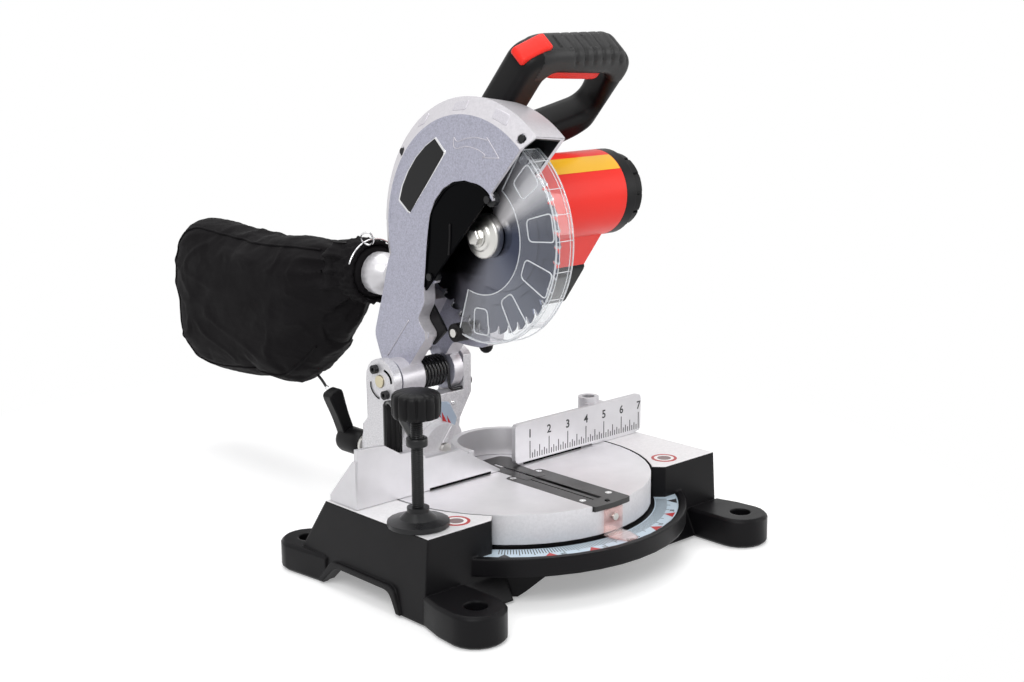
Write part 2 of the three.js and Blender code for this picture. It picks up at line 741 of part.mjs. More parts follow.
// The base casting: two wings with lugs, joined by the well that carries the turntable.
function wing(side) {
  const walls = (wall) => {
    const top = TABLE_HEIGHT - wall;
    const sideView = [
      [-WING_FRONT - WING_FRONT_SPREAD + wall, BASE_CLEAR - (wall ? OVERRUN : 0)],
      [-WING_FRONT + wall, WING_CREASE],
      [-WING_FRONT + wall, top],
      [WING_BACK - wall, top],
      [WING_BACK_LOW - wall, WING_BACK_CREASE],
      [WING_BACK_LOW + WING_BACK_SPREAD - wall, BASE_CLEAR - (wall ? OVERRUN : 0)],
    ];
    const frontView = [
      [WING_IN, 0], [WING_OUT + WING_SPREAD - wall, 0], [WING_OUT - wall, top], [WING_IN, top],
    ].map(([x, z]) => [side * x, z]);
    const across = prism("x", sideView, ...ordered(side, WING_IN, WING_OUT + WING_SPREAD));
    return across.intersect(prism("y", frontView, -WING_FRONT - LUG_RADIUS, WING_BACK_LOW + LUG_RADIUS));
  };
  const cornerCut = [
    [WING_CORNER_IN, -WING_FRONT - WING_FRONT_SPREAD - OVERRUN],
    [WING_CORNER_IN, -WING_FRONT],
    [WING_CORNER_IN - WING_CORNER_CUT, -WING_FRONT + WING_CORNER_CUT],
    [WING_IN - OVERRUN, -WING_FRONT + WING_CORNER_CUT],
    [WING_IN - OVERRUN, -WING_FRONT - WING_FRONT_SPREAD - OVERRUN],
  ].map(([x, y]) => [side * x, y]);
  return {
    outside: walls(0).subtract(prism("z", cornerCut, WELL_FLOOR, TABLE_HEIGHT + OVERRUN)),
    inside: walls(BASE_WALL).subtract(rod("z", WELL_RADIUS + BASE_WALL, 0, TABLE_HEIGHT, [0, 0, 0], ROUND_LARGE)),
  };
}

function arch(grow, from, to) {
  const points = [
    [-ARCH_FRONT - grow, -OVERRUN], [-ARCH_FRONT_TOP - grow, ARCH_HEIGHT + grow],
    [ARCH_BACK_TOP + grow, ARCH_HEIGHT + grow], [ARCH_BACK + grow, -OVERRUN],
  ];
  const [start, up, over, end] = points;
  const top = softened([start, up, over, end], ARCH_CORNER).slice(4, 12);
  return prism("x", [start, ...top, end], from, to);
}

function lugs(side) {
  const front = softened([
    ...arc(LUG_RADIUS, HALF_TURN, FULL_TURN, ROUND_SMALL, LUG_FRONT_X, -LUG_FRONT_Y),
    [LUG_NECK_X, -LUG_NECK_Y], [WING_OUT + WING_SPREAD, -WING_FRONT], [LUG_FRONT_X - LUG_RADIUS, -WING_FRONT],
  ], 0, 1);
  const back = [
    ...arc(LUG_RADIUS, 0, HALF_TURN, ROUND_SMALL, LUG_BACK_X, LUG_BACK_Y),
    [LUG_BACK_X - LUG_RADIUS, LUG_BACK_Y - LUG_RADIUS], [WING_OUT + WING_SPREAD, LUG_BACK_Y - 2 * LUG_RADIUS],
  ];
  const flip = (points) => points.map(([x, y]) => [side * x, y]);
  return joined([
    prism("z", flip(front), FOOT_PROUD, LUG_FRONT_HEIGHT, LUG_CHAMFER),
    prism("z", flip(back), FOOT_PROUD, LUG_BACK_HEIGHT, LUG_CHAMFER),
  ]);
}

const LUG_PLACES = [
  ["foot_front_left", -LUG_FRONT_X, -LUG_FRONT_Y, LUG_FRONT_HEIGHT],
  ["foot_front_right", LUG_FRONT_X, -LUG_FRONT_Y, LUG_FRONT_HEIGHT],
  ["foot_rear_left", -LUG_BACK_X, LUG_BACK_Y, LUG_BACK_HEIGHT],
  ["foot_rear_right", LUG_BACK_X, LUG_BACK_Y, LUG_BACK_HEIGHT],
];

function quadrant() {
  const deckBottom = RING_LABEL - RING_DECK;
  const ring = turned("z", [
    [LEDGE_IN, WELL_FLOOR - WELL_FLOOR_THICK], [LEDGE_OUT, WELL_FLOOR - WELL_FLOOR_THICK],
    [LEDGE_OUT, deckBottom], [RING_OUT - RING_LIP, deckBottom], [RING_OUT - RING_LIP, RING_BOTTOM],
    [RING_OUT, RING_BOTTOM], [RING_OUT, RING_TOP], [RING_OUT - RING_LIP, RING_TOP],
    [RING_OUT - RING_LIP, RING_LABEL], [LEDGE_OUT, RING_LABEL], [LEDGE_OUT, TABLE_BOTTOM - GAP],
    [LEDGE_IN, TABLE_BOTTOM - GAP],
  ], ROUND_LARGE);
  const wedge = [[0, 0], ...arc(2 * RING_OUT, FRONT_ANGLE - RING_HALF_ANGLE, FRONT_ANGLE + RING_HALF_ANGLE, 4)];
  return ring.intersect(prism("z", wedge, 0, TABLE_HEIGHT));
}

function baseCasting() {
  const wings = SIDES.map(wing);
  const floorBottom = WELL_FLOOR - WELL_FLOOR_THICK;
  const floorHoles = [1, 3, 5, 7].map((eighth) => {
    const angle = (FULL_TURN * eighth) / 8;
    return ringSector(FLOOR_HOLE_IN, FLOOR_HOLE_OUT, angle - FLOOR_HOLE_ANGLE, angle + FLOOR_HOLE_ANGLE, 6);
  });
  const floor = prism("z", circle(WELL_RADIUS + OVERRUN, ROUND_LARGE), floorBottom, WELL_FLOOR, 0, floorHoles);
  const wall = tube("z", WELL_RADIUS - WELL_SKIRT, WELL_RADIUS + OVERRUN, BASE_CLEAR, WELL_FLOOR, [0, 0, 0],
    ROUND_LARGE);
  const hub = rod("z", BASE_HUB_RADIUS, BASE_CLEAR, TABLE_BOTTOM - GAP);
  const ribs = [];
  for (let i = 0; i < BASE_RIB_COUNT; i++) {
    const rib = block([0, WELL_RADIUS - OVERRUN], [-BASE_RIB / 2, BASE_RIB / 2], [BASE_CLEAR, WELL_FLOOR]);
    ribs.push(rib.rotate([0, 0, (FULL_TURN * i) / BASE_RIB_COUNT]));
  }
  const outside = wings.map((part) => part.outside);
  const archRims = SIDES.map((side) => {
    const [from, to] = ordered(side, WING_OUT - BASE_WALL, WING_OUT + WING_SPREAD + ARCH_RIM_PROUD);
    return arch(ARCH_RIM, from, to).subtract(arch(0, from - OVERRUN, to + OVERRUN))
      .intersect(block([from, to], [-2 * ARCH_FRONT, 2 * ARCH_BACK], [BASE_CLEAR, TABLE_HEIGHT]));
  });
  const archCuts = SIDES.map((side) =>
    arch(0, ...ordered(side, WELL_RADIUS, WING_OUT + WING_SPREAD + OVERRUN + ARCH_RIM_PROUD)));
  const well = rod("z", WELL_RADIUS, WELL_FLOOR, TABLE_HEIGHT + OVERRUN, [0, 0, 0], ROUND_LARGE);
  const pass = rod("z", BRACKET_PASS_RADIUS, TABLE_HEIGHT - BRACKET_PASS_DEPTH, TABLE_HEIGHT + OVERRUN,
    [0, 0, 0], ROUND_LARGE)
    .intersect(block([-2 * WING_OUT, 2 * WING_OUT], [BRACKET_PASS_BACK, WING_BACK_LOW], [0, 2 * TABLE_HEIGHT]));
  const bolts = LUG_PLACES.flatMap(([, x, y, height]) => [
    rod("z", LUG_HOLE_RADIUS, 0, height + OVERRUN, [x, y, 0]),
    rod("z", LUG_BORE_RADIUS, LUG_BORE_FLOOR, height + OVERRUN, [x, y, 0]),
    tube("z", FOOT_IN - GAP, FOOT_OUT + GAP, 0, FOOT_THICK + GAP, [x, y, 0]),
  ]);
  const fenceHoles = SIDES.map((side) =>
    rod("z", FENCE_BOLT_RADIUS + GAP, TABLE_HEIGHT - BASE_WALL - OVERRUN, TABLE_HEIGHT + OVERRUN,
      [side * FENCE_BOLT_X, FENCE_BOLT_Y, 0], ROUND_SMALL));
  const shell = cutBy(joined(outside), wings.map((part) => part.inside)).subtract(well);
  const whole = joined([shell, ...archRims, ...SIDES.map(lugs), floor, wall, hub, ...ribs, quadrant()]);
  const centre = rod("z", CENTRE_BOLT_RADIUS + GAP, 0, TABLE_HEIGHT)
    .add(rod("z", CENTRE_BOLT_HEAD_RADIUS + GAP, 0, BASE_CLEAR + CENTRE_BOLT_HEAD + GAP));
  const frontArch = prism("y", [
    [-FRONT_ARCH_LOW, -OVERRUN], [-FRONT_ARCH_TOP, floorBottom], [FRONT_ARCH_TOP, floorBottom],
    [FRONT_ARCH_LOW, -OVERRUN],
  ], -RING_OUT, -WELL_RADIUS / 2);
  return cutBy(whole, [...archCuts, frontArch, pass, ...bolts, ...fenceHoles, centre]);
}

function foot([name, x, y]) {
  const mesh = piece(name, tube("z", FOOT_IN, FOOT_OUT, 0, FOOT_THICK), RUBBER);
  mesh.position.set(x, y, 0);
  return mesh;
}

// The fence: one casting whose two halves are joined by a bow behind the blade.
function fenceCasting() {
  const bottom = TABLE_HEIGHT + GAP;
  const leftWide = FENCE_LEFT_END - FENCE_LEFT_IN;
  const left = [
    [-FENCE_LEFT_IN, bottom + FENCE_RIGHT_GAP], [-FENCE_LEFT_IN, bottom],
    [-FENCE_LEFT_END, bottom],
    ...scaled([...FENCE_TOP_SHARES, ...FENCE_STEP_SHARES], -leftWide, FENCE_LEFT_HEIGHT, -FENCE_LEFT_IN, bottom),
  ];
  const right = softened(rectangle(FENCE_RIGHT_IN, FENCE_RIGHT_END, bottom + FENCE_RIGHT_GAP,
    bottom + FENCE_RIGHT_HEIGHT), FENCE_CORNER);
  const back = FENCE_FACE + FENCE_THICK;
  const bow = prism("z", ringSector(BOW_RADIUS - BOW_WALL, BOW_RADIUS,
    -BOW_PAST_ANGLE, HALF_TURN + BOW_PAST_ANGLE, ROUND), bottom, bottom + BOW_HEIGHT)
    .translate([0, BOW_BACK, 0])
    .intersect(block([-BOW_RADIUS, BOW_RADIUS], [FENCE_FACE + OVERRUN, 2 * BOW_RADIUS], [0, 2 * TABLE_HEIGHT]));
  const feet = SIDES.map((side) => prism("z",
    softened(rectangle(...ordered(side, FENCE_FOOT_IN, FENCE_FOOT_OUT), FENCE_FACE, FENCE_FOOT_BACK), FENCE_CORNER),
    bottom, bottom + FENCE_FOOT_THICK));
  const gussets = SIDES.map((side) => {
    const tall = (side < 0 ? FENCE_LEFT_HEIGHT : FENCE_RIGHT_HEIGHT) * GUSSET_HEIGHT_SHARE;
    const outline = [[FENCE_FACE + OVERRUN, bottom], [FENCE_FOOT_BACK, bottom],
      [FENCE_FOOT_BACK, bottom + FENCE_FOOT_THICK], [back, bottom + tall], [FENCE_FACE + OVERRUN, bottom + tall]];
    return prism("x", outline, ...ordered(side, FENCE_FOOT_OUT - GUSSET_THICK, FENCE_FOOT_OUT));
  });
  const posts = SIDES.map((side) => {
    const top = bottom + (side < 0 ? POST_BOSS_LEFT : POST_BOSS_RIGHT);
    const [inner, outer] = [POST_X - POST_BOSS_RADIUS, POST_X + POST_BOSS_RADIUS];
    return rod("z", POST_BOSS_RADIUS, bottom, top, [side * POST_X, POST_Y, 0])
      .add(block(ordered(side, inner, outer), [FENCE_FACE + OVERRUN, POST_Y], [bottom, Math.min(top,
        bottom + FENCE_RIGHT_HEIGHT)]));
  });
  const whole = joined([
    prism("y", left, FENCE_FACE, back), prism("y", right, FENCE_FACE, back), bow, ...feet, ...gussets, ...posts,
  ]);
  const cuts = SIDES.flatMap((side) => [
    rod("z", POST_RADIUS + GAP, bottom + BASE_CLEAR, TABLE_HEIGHT * 2, [side * POST_X, POST_Y, 0]),
    rod("z", FENCE_BOLT_RADIUS + GAP, 0, TABLE_HEIGHT * 2, [side * FENCE_BOLT_X, FENCE_BOLT_Y, 0], ROUND_SMALL),
  ]);
  return cutBy(whole, cuts);
}

function bolt(axis, headRadius, head, radius, length, sides = 6) {
  return rod(axis, headRadius, 0, head, [0, 0, 0], sides).add(rod(axis, radius, -length, OVERRUN));
}

function fenceBolt(side) {
  const shape = bolt("z", FENCE_BOLT_HEAD_RADIUS, FENCE_BOLT_HEAD, FENCE_BOLT_RADIUS, FENCE_BOLT_LENGTH);
  const mesh = piece(side < 0 ? "fence_bolt_left" : "fence_bolt_right", shape, STEEL);
  mesh.position.set(side * FENCE_BOLT_X, FENCE_BOLT_Y, TABLE_HEIGHT + 2 * GAP + FENCE_FOOT_THICK);
  return mesh;
}

function turntableBolt() {
  const shape = joined([
    rod("z", CENTRE_BOLT_HEAD_RADIUS, -CENTRE_BOLT_HEAD, 0, [0, 0, 0], 6),
    rod("z", CENTRE_BOLT_RADIUS, -OVERRUN, CENTRE_BOLT_TOP - CENTRE_BOLT_HEAD - BASE_CLEAR),
  ]);
  const mesh = piece("turntable_bolt", shape, STEEL);
  mesh.position.set(0, 0, BASE_CLEAR + CENTRE_BOLT_HEAD);
  return mesh;
}

const INSERT_SCREWS = SIDES.flatMap((side) => [INSERT_SCREW_BACK, INSERT_SCREW_FRONT].map((ahead) =>
  [side * INSERT_SCREW_X, -ahead]));

// The slot for the blade, which opens to the right under the deck for a tilted cut.
function kerf() {
  const deep = TABLE_DECK + TABLE_RIB_DEEP + OVERRUN;
  const bottom = TABLE_HEIGHT - deep;
  return prism("y", [
    [-KERF_HALF, TABLE_HEIGHT + OVERRUN], [-KERF_HALF, bottom], [KERF_HALF + deep, bottom],
    [KERF_HALF, TABLE_HEIGHT], [KERF_HALF, TABLE_HEIGHT + OVERRUN],
  ], -KERF_FRONT, KERF_BACK);
}

// The turntable: a machined deck on a rim and ribs, with the trunnion that the bracket tilts on.
function turntableDisc() {
  const outer = circle(TABLE_RADIUS, ROUND_LARGE);
  const deckBottom = TABLE_HEIGHT - TABLE_DECK;
  const deck = prism("z", outer, deckBottom, TABLE_HEIGHT);
  const rim = prism("z", outer, TABLE_BOTTOM, TABLE_HEIGHT, 0, [circle(TABLE_RADIUS - TABLE_RIM, ROUND_LARGE)]);
  const hub = rod("z", TABLE_HUB_RADIUS, TABLE_BOTTOM, deckBottom);
  const ribs = [];
  for (let i = 0; i < TABLE_RIB_COUNT; i++) {
    const rib = block([0, TABLE_RADIUS - OVERRUN], [-TABLE_RIB / 2, TABLE_RIB / 2],
      [deckBottom - TABLE_RIB_DEEP, deckBottom + OVERRUN]);
    ribs.push(rib.rotate([0, 0, (FULL_TURN * (i + 0.5)) / TABLE_RIB_COUNT]));
  }
  const trunnionEnd = BRACKET_FRONT - GAP;
  const trimBack = trunnionEnd - TRUNNION_THICK;
  const back = block([-TABLE_RADIUS, TABLE_RADIUS], [trimBack - TABLE_RIM, trimBack], [TABLE_BOTTOM, TABLE_HEIGHT])
    .intersect(prism("z", outer, TABLE_BOTTOM, TABLE_HEIGHT));
  const trim = block([-TABLE_RADIUS, TABLE_RADIUS], [trimBack, 2 * TABLE_RADIUS], [0, 2 * TABLE_HEIGHT]);
  const trunnion = joined([
    rod("y", TRUNNION_RADIUS, trunnionEnd - TRUNNION_THICK - OVERRUN, trunnionEnd, [0, 0, TABLE_HEIGHT]),
    rod("y", BOLT_LUG_RADIUS, trunnionEnd - TRUNNION_THICK - OVERRUN, trunnionEnd,
      [-SLOT_RADIUS, 0, TABLE_HEIGHT + BEVEL_RISE]),
    block([-SLOT_RADIUS, 0], [trunnionEnd - TRUNNION_THICK - OVERRUN, trunnionEnd],
      [TABLE_HEIGHT - BOLT_LUG_RADIUS, TABLE_HEIGHT + BEVEL_RISE]),
  ]);
  const insert = prism("z", softened(rectangle(-INSERT_HALF - GAP, INSERT_HALF + GAP,
    -WELL_RADIUS - OVERRUN, -INSERT_BACK + GAP), INSERT_CORNER), TABLE_HEIGHT - INSERT_THICK - GAP,
    TABLE_HEIGHT + OVERRUN);
  const screwHoles = INSERT_SCREWS.map(([x, y]) =>
    rod("z", INSERT_SCREW_SHANK + GAP, deckBottom - TABLE_RIB_DEEP, TABLE_HEIGHT, [x, y, 0], ROUND_SMALL));
  const pointerHole = rod("y", POINTER_SCREW_SHANK + GAP, -TABLE_RADIUS - OVERRUN,
    -TABLE_RADIUS + POINTER_SCREW_LENGTH, [0, 0, TABLE_HEIGHT - POINTER_SCREW_DROP], ROUND_SMALL);
  const tilt = rod("y", TILT_BOLT_RADIUS + GAP, TILT_BOLT_AHEAD - 2 * TABLE_RIM, BRACKET_FRONT, [0, 0, TABLE_HEIGHT]);
  const lever = rod("y", BEVEL_BOLT_RADIUS + GAP, TILT_BOLT_AHEAD - 2 * TABLE_RIM, BRACKET_FRONT,
    [-SLOT_RADIUS, 0, TABLE_HEIGHT + BEVEL_RISE]);
  const centre = rod("z", CENTRE_BOLT_RADIUS + GAP, 0, CENTRE_BOLT_TOP + GAP);
  return cutBy(joined([deck, rim, hub, ...ribs, back]).subtract(trim).add(trunnion),
    [insert, kerf(), ...screwHoles, pointerHole, tilt, lever, centre]);
}

function kerfInsert() {
  const plate = prism("z", softened(rectangle(-INSERT_HALF, INSERT_HALF, -WELL_RADIUS, -INSERT_BACK),
    INSERT_CORNER), TABLE_HEIGHT - INSERT_THICK, TABLE_HEIGHT)
    .intersect(rod("z", WELL_RADIUS - GAP, 0, 2 * TABLE_HEIGHT, [0, 0, 0], ROUND_LARGE));
  const through = [0, 2 * TABLE_HEIGHT];
  const slit = block([-SLIT_X - SLIT_HALF, -SLIT_X + SLIT_HALF], [-KERF_FRONT, -SLIT_BACK], through);
  const screws = INSERT_SCREWS.flatMap(([x, y]) => [
    rod("z", INSERT_SCREW_RADIUS + GAP, TABLE_HEIGHT - INSERT_SCREW_HEAD - GAP, 2 * TABLE_HEIGHT, [x, y, 0],
      ROUND_SMALL),
    rod("z", INSERT_SCREW_SHANK + GAP, 0, 2 * TABLE_HEIGHT, [x, y, 0], ROUND_SMALL),
  ]);
  return cutBy(plate, [kerf(), slit, ...screws]);
}

function insertScrew([x, y], i) {
  const shape = bolt("z", INSERT_SCREW_RADIUS, INSERT_SCREW_HEAD, INSERT_SCREW_SHANK, INSERT_SCREW_LENGTH,
    ROUND_SMALL);
  const mesh = piece(`insert_screw_${i + 1}`, shape, BLACK_STEEL);
  mesh.position.set(x, y, TABLE_HEIGHT - INSERT_SCREW_HEAD);
  return mesh;
}

function mitrePointer() {
  const face = -TABLE_RADIUS - GAP;
  const low = RING_TOP - RING_LIP / 8;
  const sideView = [
    [face, TABLE_HEIGHT - POINTER_TOP_DROP], [face, low], [-POINTER_REACH, low],
    [-POINTER_REACH, low + POINTER_THICK], [face - POINTER_THICK, low + POINTER_THICK],
    [face - POINTER_THICK, TABLE_HEIGHT - POINTER_TOP_DROP],
  ];
  const planShare = POINTER_HALF * POINTER_TIP_SHARE;
  const plan = [
    [-POINTER_HALF, face + OVERRUN], [-POINTER_HALF, face - POINTER_HALF], [-planShare, -POINTER_REACH],
    [planShare, -POINTER_REACH], [POINTER_HALF, face - POINTER_HALF], [POINTER_HALF, face + OVERRUN],
  ];
  const plate = prism("x", sideView, -POINTER_HALF, POINTER_HALF).intersect(prism("z", plan, 0, TABLE_HEIGHT));
  return plate.subtract(rod("y", POINTER_SCREW_SHANK + GAP, face - 2 * POINTER_THICK, face + OVERRUN,
    [0, 0, TABLE_HEIGHT - POINTER_SCREW_DROP], ROUND_SMALL));
}

function pointerScrew() {
  const shape = joined([
    rod("y", POINTER_SCREW_RADIUS, -POINTER_SCREW_HEAD, 0, [0, 0, 0], ROUND_SMALL),
    rod("y", POINTER_SCREW_SHANK, -OVERRUN, POINTER_SCREW_LENGTH, [0, 0, 0], ROUND_SMALL),
  ]);
  const mesh = piece("pointer_screw", shape, STEEL);
  mesh.position.set(0, -TABLE_RADIUS - 2 * GAP - POINTER_THICK, TABLE_HEIGHT - POINTER_SCREW_DROP);
  return mesh;
}

function bevelPointer() {
  const high = TABLE_HEIGHT + POINTER_BEVEL_RISE;
  const outline = [
    [-POINTER_BEVEL_HALF, TABLE_HEIGHT + TILT_BOLT_RADIUS + 2 * GAP],
    [POINTER_BEVEL_HALF, TABLE_HEIGHT + TILT_BOLT_RADIUS + 2 * GAP],
    [POINTER_BEVEL_X + POINTER_BEVEL_HALF / 4, high], [POINTER_BEVEL_X, high],
  ];
  const front = BRACKET_FRONT - GAP - TRUNNION_THICK - OVERRUN - GAP;
  return prism("y", outline, front - POINTER_BEVEL_THICK, front);
}

const earPoint = (shares) => shares.map((share) => share * EAR_RADIUS);

// The tilting bracket, seen from the tilt axis: front wall, two side plates with ears, hub and slot.
function tiltBracket() {
  const sideView = (lowBack) => [
    [BRACKET_FRONT, -BRACKET_BOTTOM], [lowBack, -BRACKET_BOTTOM], [lowBack, BRACKET_STEP],
    [BRACKET_BACK, BRACKET_STEP + lowBack - BRACKET_BACK],
    ...arc(EAR_RADIUS, 0, HALF_TURN, ROUND_SMALL, PIVOT_BACK, PIVOT_RISE), [BRACKET_FRONT, BRACKET_LEDGE],
  ];
  const left = prism("x", sideView(BRACKET_LOW_BACK), -EAR_LEFT_OUT, -EAR_LEFT_IN);
  const thick = EAR_RIGHT_OUT - EAR_RIGHT_IN;
  const outer = scaled(BRACKET_SIDE_SHARES, EAR_RIGHT_OUT, PIVOT_RISE + EAR_RADIUS);
  const inner = outer.map(([x, z]) => [x - thick, z]).reverse();
  const right = prism("y", [...outer, ...inner], BRACKET_FRONT, BRACKET_LOW_BACK)
    .intersect(prism("x", sideView(BRACKET_LOW_BACK), 0, EAR_RIGHT_OUT));
  const lowOuter = outer.slice(1);
  const front = prism("y", [
    [-EAR_LEFT_OUT, -BRACKET_BOTTOM], [-EAR_LEFT_OUT, BRACKET_LEDGE], [lowOuter[0][0], BRACKET_LEDGE], ...lowOuter,
  ], BRACKET_FRONT, BRACKET_FRONT + BRACKET_WALL);
  const bell = rod("y", BRACKET_BELL_RADIUS, BRACKET_FRONT, BRACKET_FRONT + BRACKET_WALL);
  const hub = rod("y", BRACKET_HUB_RADIUS, BRACKET_FRONT, BRACKET_LOW_BACK);
  const ledge = block([-EAR_LEFT_IN - OVERRUN, EAR_RIGHT_OUT - thick + OVERRUN],
    [BRACKET_FRONT, BRACKET_FRONT + BRACKET_LEDGE_DEEP], [BRACKET_LEDGE - BRACKET_LEDGE_THICK, BRACKET_LEDGE]);
  const slotShape = (grow, from, to) => {
    const half = SLOT_HALF + grow;
    const reach = Math.hypot(SLOT_RADIUS, BEVEL_RISE);
    const start = THREE.MathUtils.radToDeg(Math.atan2(BEVEL_RISE, -SLOT_RADIUS));
    const end = start - SLOT_ANGLE;
    const ends = arc(reach, end, start, 1).map(([x, z]) => rod("y", half, from, to, [x, 0, z]));
    return joined([prism("y", ringSector(reach - half, reach + half, end, start, 8), from, to), ...ends]);
  };
  const whole = joined([left, right, front, bell, hub, ledge, slotShape(SLOT_WALL, BRACKET_FRONT, BRACKET_LOW_BACK)]);
  const earPlace = [0, PIVOT_BACK, PIVOT_RISE];
  return cutBy(whole, [
    slotShape(0, BRACKET_FRONT - OVERRUN, BRACKET_LOW_BACK + OVERRUN),
    rod("y", TILT_BOLT_RADIUS + GAP, BRACKET_FRONT - OVERRUN, BRACKET_LOW_BACK + OVERRUN),
    rod("x", SHAFT_RADIUS + GAP, -2 * EAR_LEFT_OUT, 2 * EAR_RIGHT_OUT, earPlace),
    rod("x", LOCK_PIN_RADIUS + GAP, EAR_RIGHT_IN - OVERRUN, 2 * EAR_RIGHT_OUT,
      [0, PIVOT_BACK - LOCK_PIN_BACK, PIVOT_RISE - LOCK_PIN_DROP], ROUND_SMALL),
    ...[earPoint(EAR_SCREW_UPPER_SHARES), earPoint(EAR_SCREW_LOWER_SHARES)].map(([y, z]) =>
      rod("x", EAR_SCREW_SHANK + GAP, -EAR_LEFT_OUT - OVERRUN, -EAR_LEFT_OUT + EAR_SCREW_LENGTH + GAP,
        [0, PIVOT_BACK + y, PIVOT_RISE + z], ROUND_SMALL)),
  ]);
}

function tiltBolt() {
  const behind = BRACKET_LOW_BACK + GAP;
  return joined([
    rod("y", TILT_BOLT_HEAD_RADIUS, behind, behind + TILT_BOLT_HEAD, [0, 0, 0], 6),
    rod("y", TILT_BOLT_RADIUS, TILT_BOLT_AHEAD, behind + OVERRUN),
  ]);
}

function pivotShaft() {
  return rod("x", SHAFT_RADIUS, -EAR_LEFT_OUT - SHAFT_PROUD, EAR_RIGHT_OUT + SHAFT_PROUD);
}

function earScrew(name, [y, z]) {
  const shape = joined([
    rod("x", EAR_SCREW_RADIUS, -EAR_SCREW_HEAD, 0, [0, 0, 0], ROUND_SMALL),
    rod("x", EAR_SCREW_SHANK, -OVERRUN, EAR_SCREW_LENGTH, [0, 0, 0], ROUND_SMALL),
  ]).subtract(rod("x", EAR_SCREW_RADIUS / 2, -EAR_SCREW_HEAD - OVERRUN, -EAR_SCREW_HEAD / 2, [0, 0, 0], 6));
  const mesh = piece(name, shape, BLACK_STEEL);
  mesh.position.set(-EAR_LEFT_OUT - GAP, y, z);
  return mesh;
}

// The torsion spring: one wire, wound about the pivot, with a leg along the bracket's ledge.
function springPath() {
  const points = [new THREE.Vector3(SPRING_LEFT, 0, SPRING_RADIUS)];
  const steps = SPRING_HALF_ANGLES * SPRING_STEPS;
  for (let i = 0; i <= steps; i++) {
    const angle = radians(SPRING_START_ANGLE + (FULL_TURN * i) / SPRING_STEPS);
    points.push(new THREE.Vector3(SPRING_LEFT + SPRING_WIRE + (SPRING_PITCH * i) / SPRING_STEPS,
      SPRING_RADIUS * Math.cos(angle), SPRING_RADIUS * Math.sin(angle)));
  }
  const last = points.at(-1);
  const leg = (x, z) => points.push(new THREE.Vector3(x, last.y, z));
  leg(last.x + SPRING_BEND / 8, SPRING_BEND - SPRING_LEG_DROP);
  leg(last.x + SPRING_BEND / 2, SPRING_BEND / 4 - SPRING_LEG_DROP);
  leg(last.x + SPRING_BEND, -SPRING_LEG_DROP);
  leg(SPRING_LEG_OUT - SPRING_WIRE, -SPRING_LEG_DROP);
  leg(SPRING_LEG_OUT, -SPRING_LEG_DROP);
  return points;
}

function wire(points, radius, sides) {
  const places = [];
  const faces = [];
  points.forEach((point, i) => {
    const before = points[Math.max(i - 1, 0)];
    const after = points[Math.min(i + 1, points.length - 1)];
    const along = after.clone().sub(before).normalize();
    const outward = new THREE.Vector3(0, point.y, point.z).normalize();
    const across = outward.clone().sub(along.clone().multiplyScalar(outward.dot(along))).normalize();
    const up = along.clone().cross(across);
    for (let k = 0; k < sides; k++) {
      const angle = (2 * Math.PI * k) / sides;
      const place = point.clone().addScaledVector(across, radius * Math.cos(angle))
        .addScaledVector(up, radius * Math.sin(angle));
      places.push(...place.toArray());
    }
    if (i === 0) return;
    for (let k = 0; k < sides; k++) {
      const next = (k + 1) % sides;
      const [a, b] = [(i - 1) * sides + k, (i - 1) * sides + next];
      const [c, d] = [i * sides + k, i * sides + next];
      faces.push(a, b, d, a, d, c);
    }
  });
  const last = (points.length - 1) * sides;
  for (let k = 1; k < sides - 1; k++) {
    faces.push(0, k + 1, k);
    faces.push(last, last + k, last + k + 1);
  }
  const geometry = new THREE.BufferGeometry();
  geometry.setAttribute("position", new THREE.Float32BufferAttribute(places, 3));
  geometry.setIndex(faces);
  return solid(geometry);
}

// The least gap of the wire to itself, between points that lie more than half a turn apart.
function leastGap(points, diameter) {
  const far = SPRING_STEPS / 2;
  let least = Infinity;
  for (let i = 0; i < points.length; i++) {
    for (let k = i + far; k < points.length; k++) {
      least = Math.min(least, points[i].distanceTo(points[k]) - diameter);
    }
  }
  return least;
}

// The bevel lock: a bolt through the bracket's slot into the turntable, and its lever.
function bevelBolt() {
  const face = BRACKET_LOW_BACK + GAP;
  return joined([
    rod("y", BEVEL_COLLAR_RADIUS, face, face + BEVEL_COLLAR),
    rod("y", BEVEL_BOLT_RADIUS, TILT_BOLT_AHEAD + 2 * TABLE_RIM, face + BEVEL_COLLAR + LEVER_BORE),
  ]);
}

function bevelLever() {
  const face = BRACKET_LOW_BACK + 2 * GAP + BEVEL_COLLAR;
  const hub = turned("y", [
    [0, face], [LEVER_HUB_RADIUS, face], [LEVER_HUB_RADIUS, face + LEVER_HUB - LEVER_NECK_HALF],
    [LEVER_HUB_RADIUS - LEVER_NECK_HALF, face + LEVER_HUB], [0, face + LEVER_HUB],
  ]);
  const arm = softened([
    [-LEVER_NECK_HALF, 0], [LEVER_NECK_HALF, 0], [LEVER_NECK_HALF, LEVER_LENGTH / 2],
    [LEVER_TIP_HALF, LEVER_LENGTH], [-LEVER_TIP_HALF, LEVER_LENGTH], [-LEVER_NECK_HALF, LEVER_LENGTH / 2],
  ], LEVER_NECK_HALF);
  const plate = prism("y", arm, face + LEVER_HUB - LEVER_THICK, face + LEVER_HUB, OVERRUN)
    .rotate([0, -LEVER_LEAN, 0]);
  const bore = rod("y", BEVEL_BOLT_RADIUS + GAP, face - OVERRUN, face + LEVER_BORE);
  return hub.add(plate).subtract(bore);
}

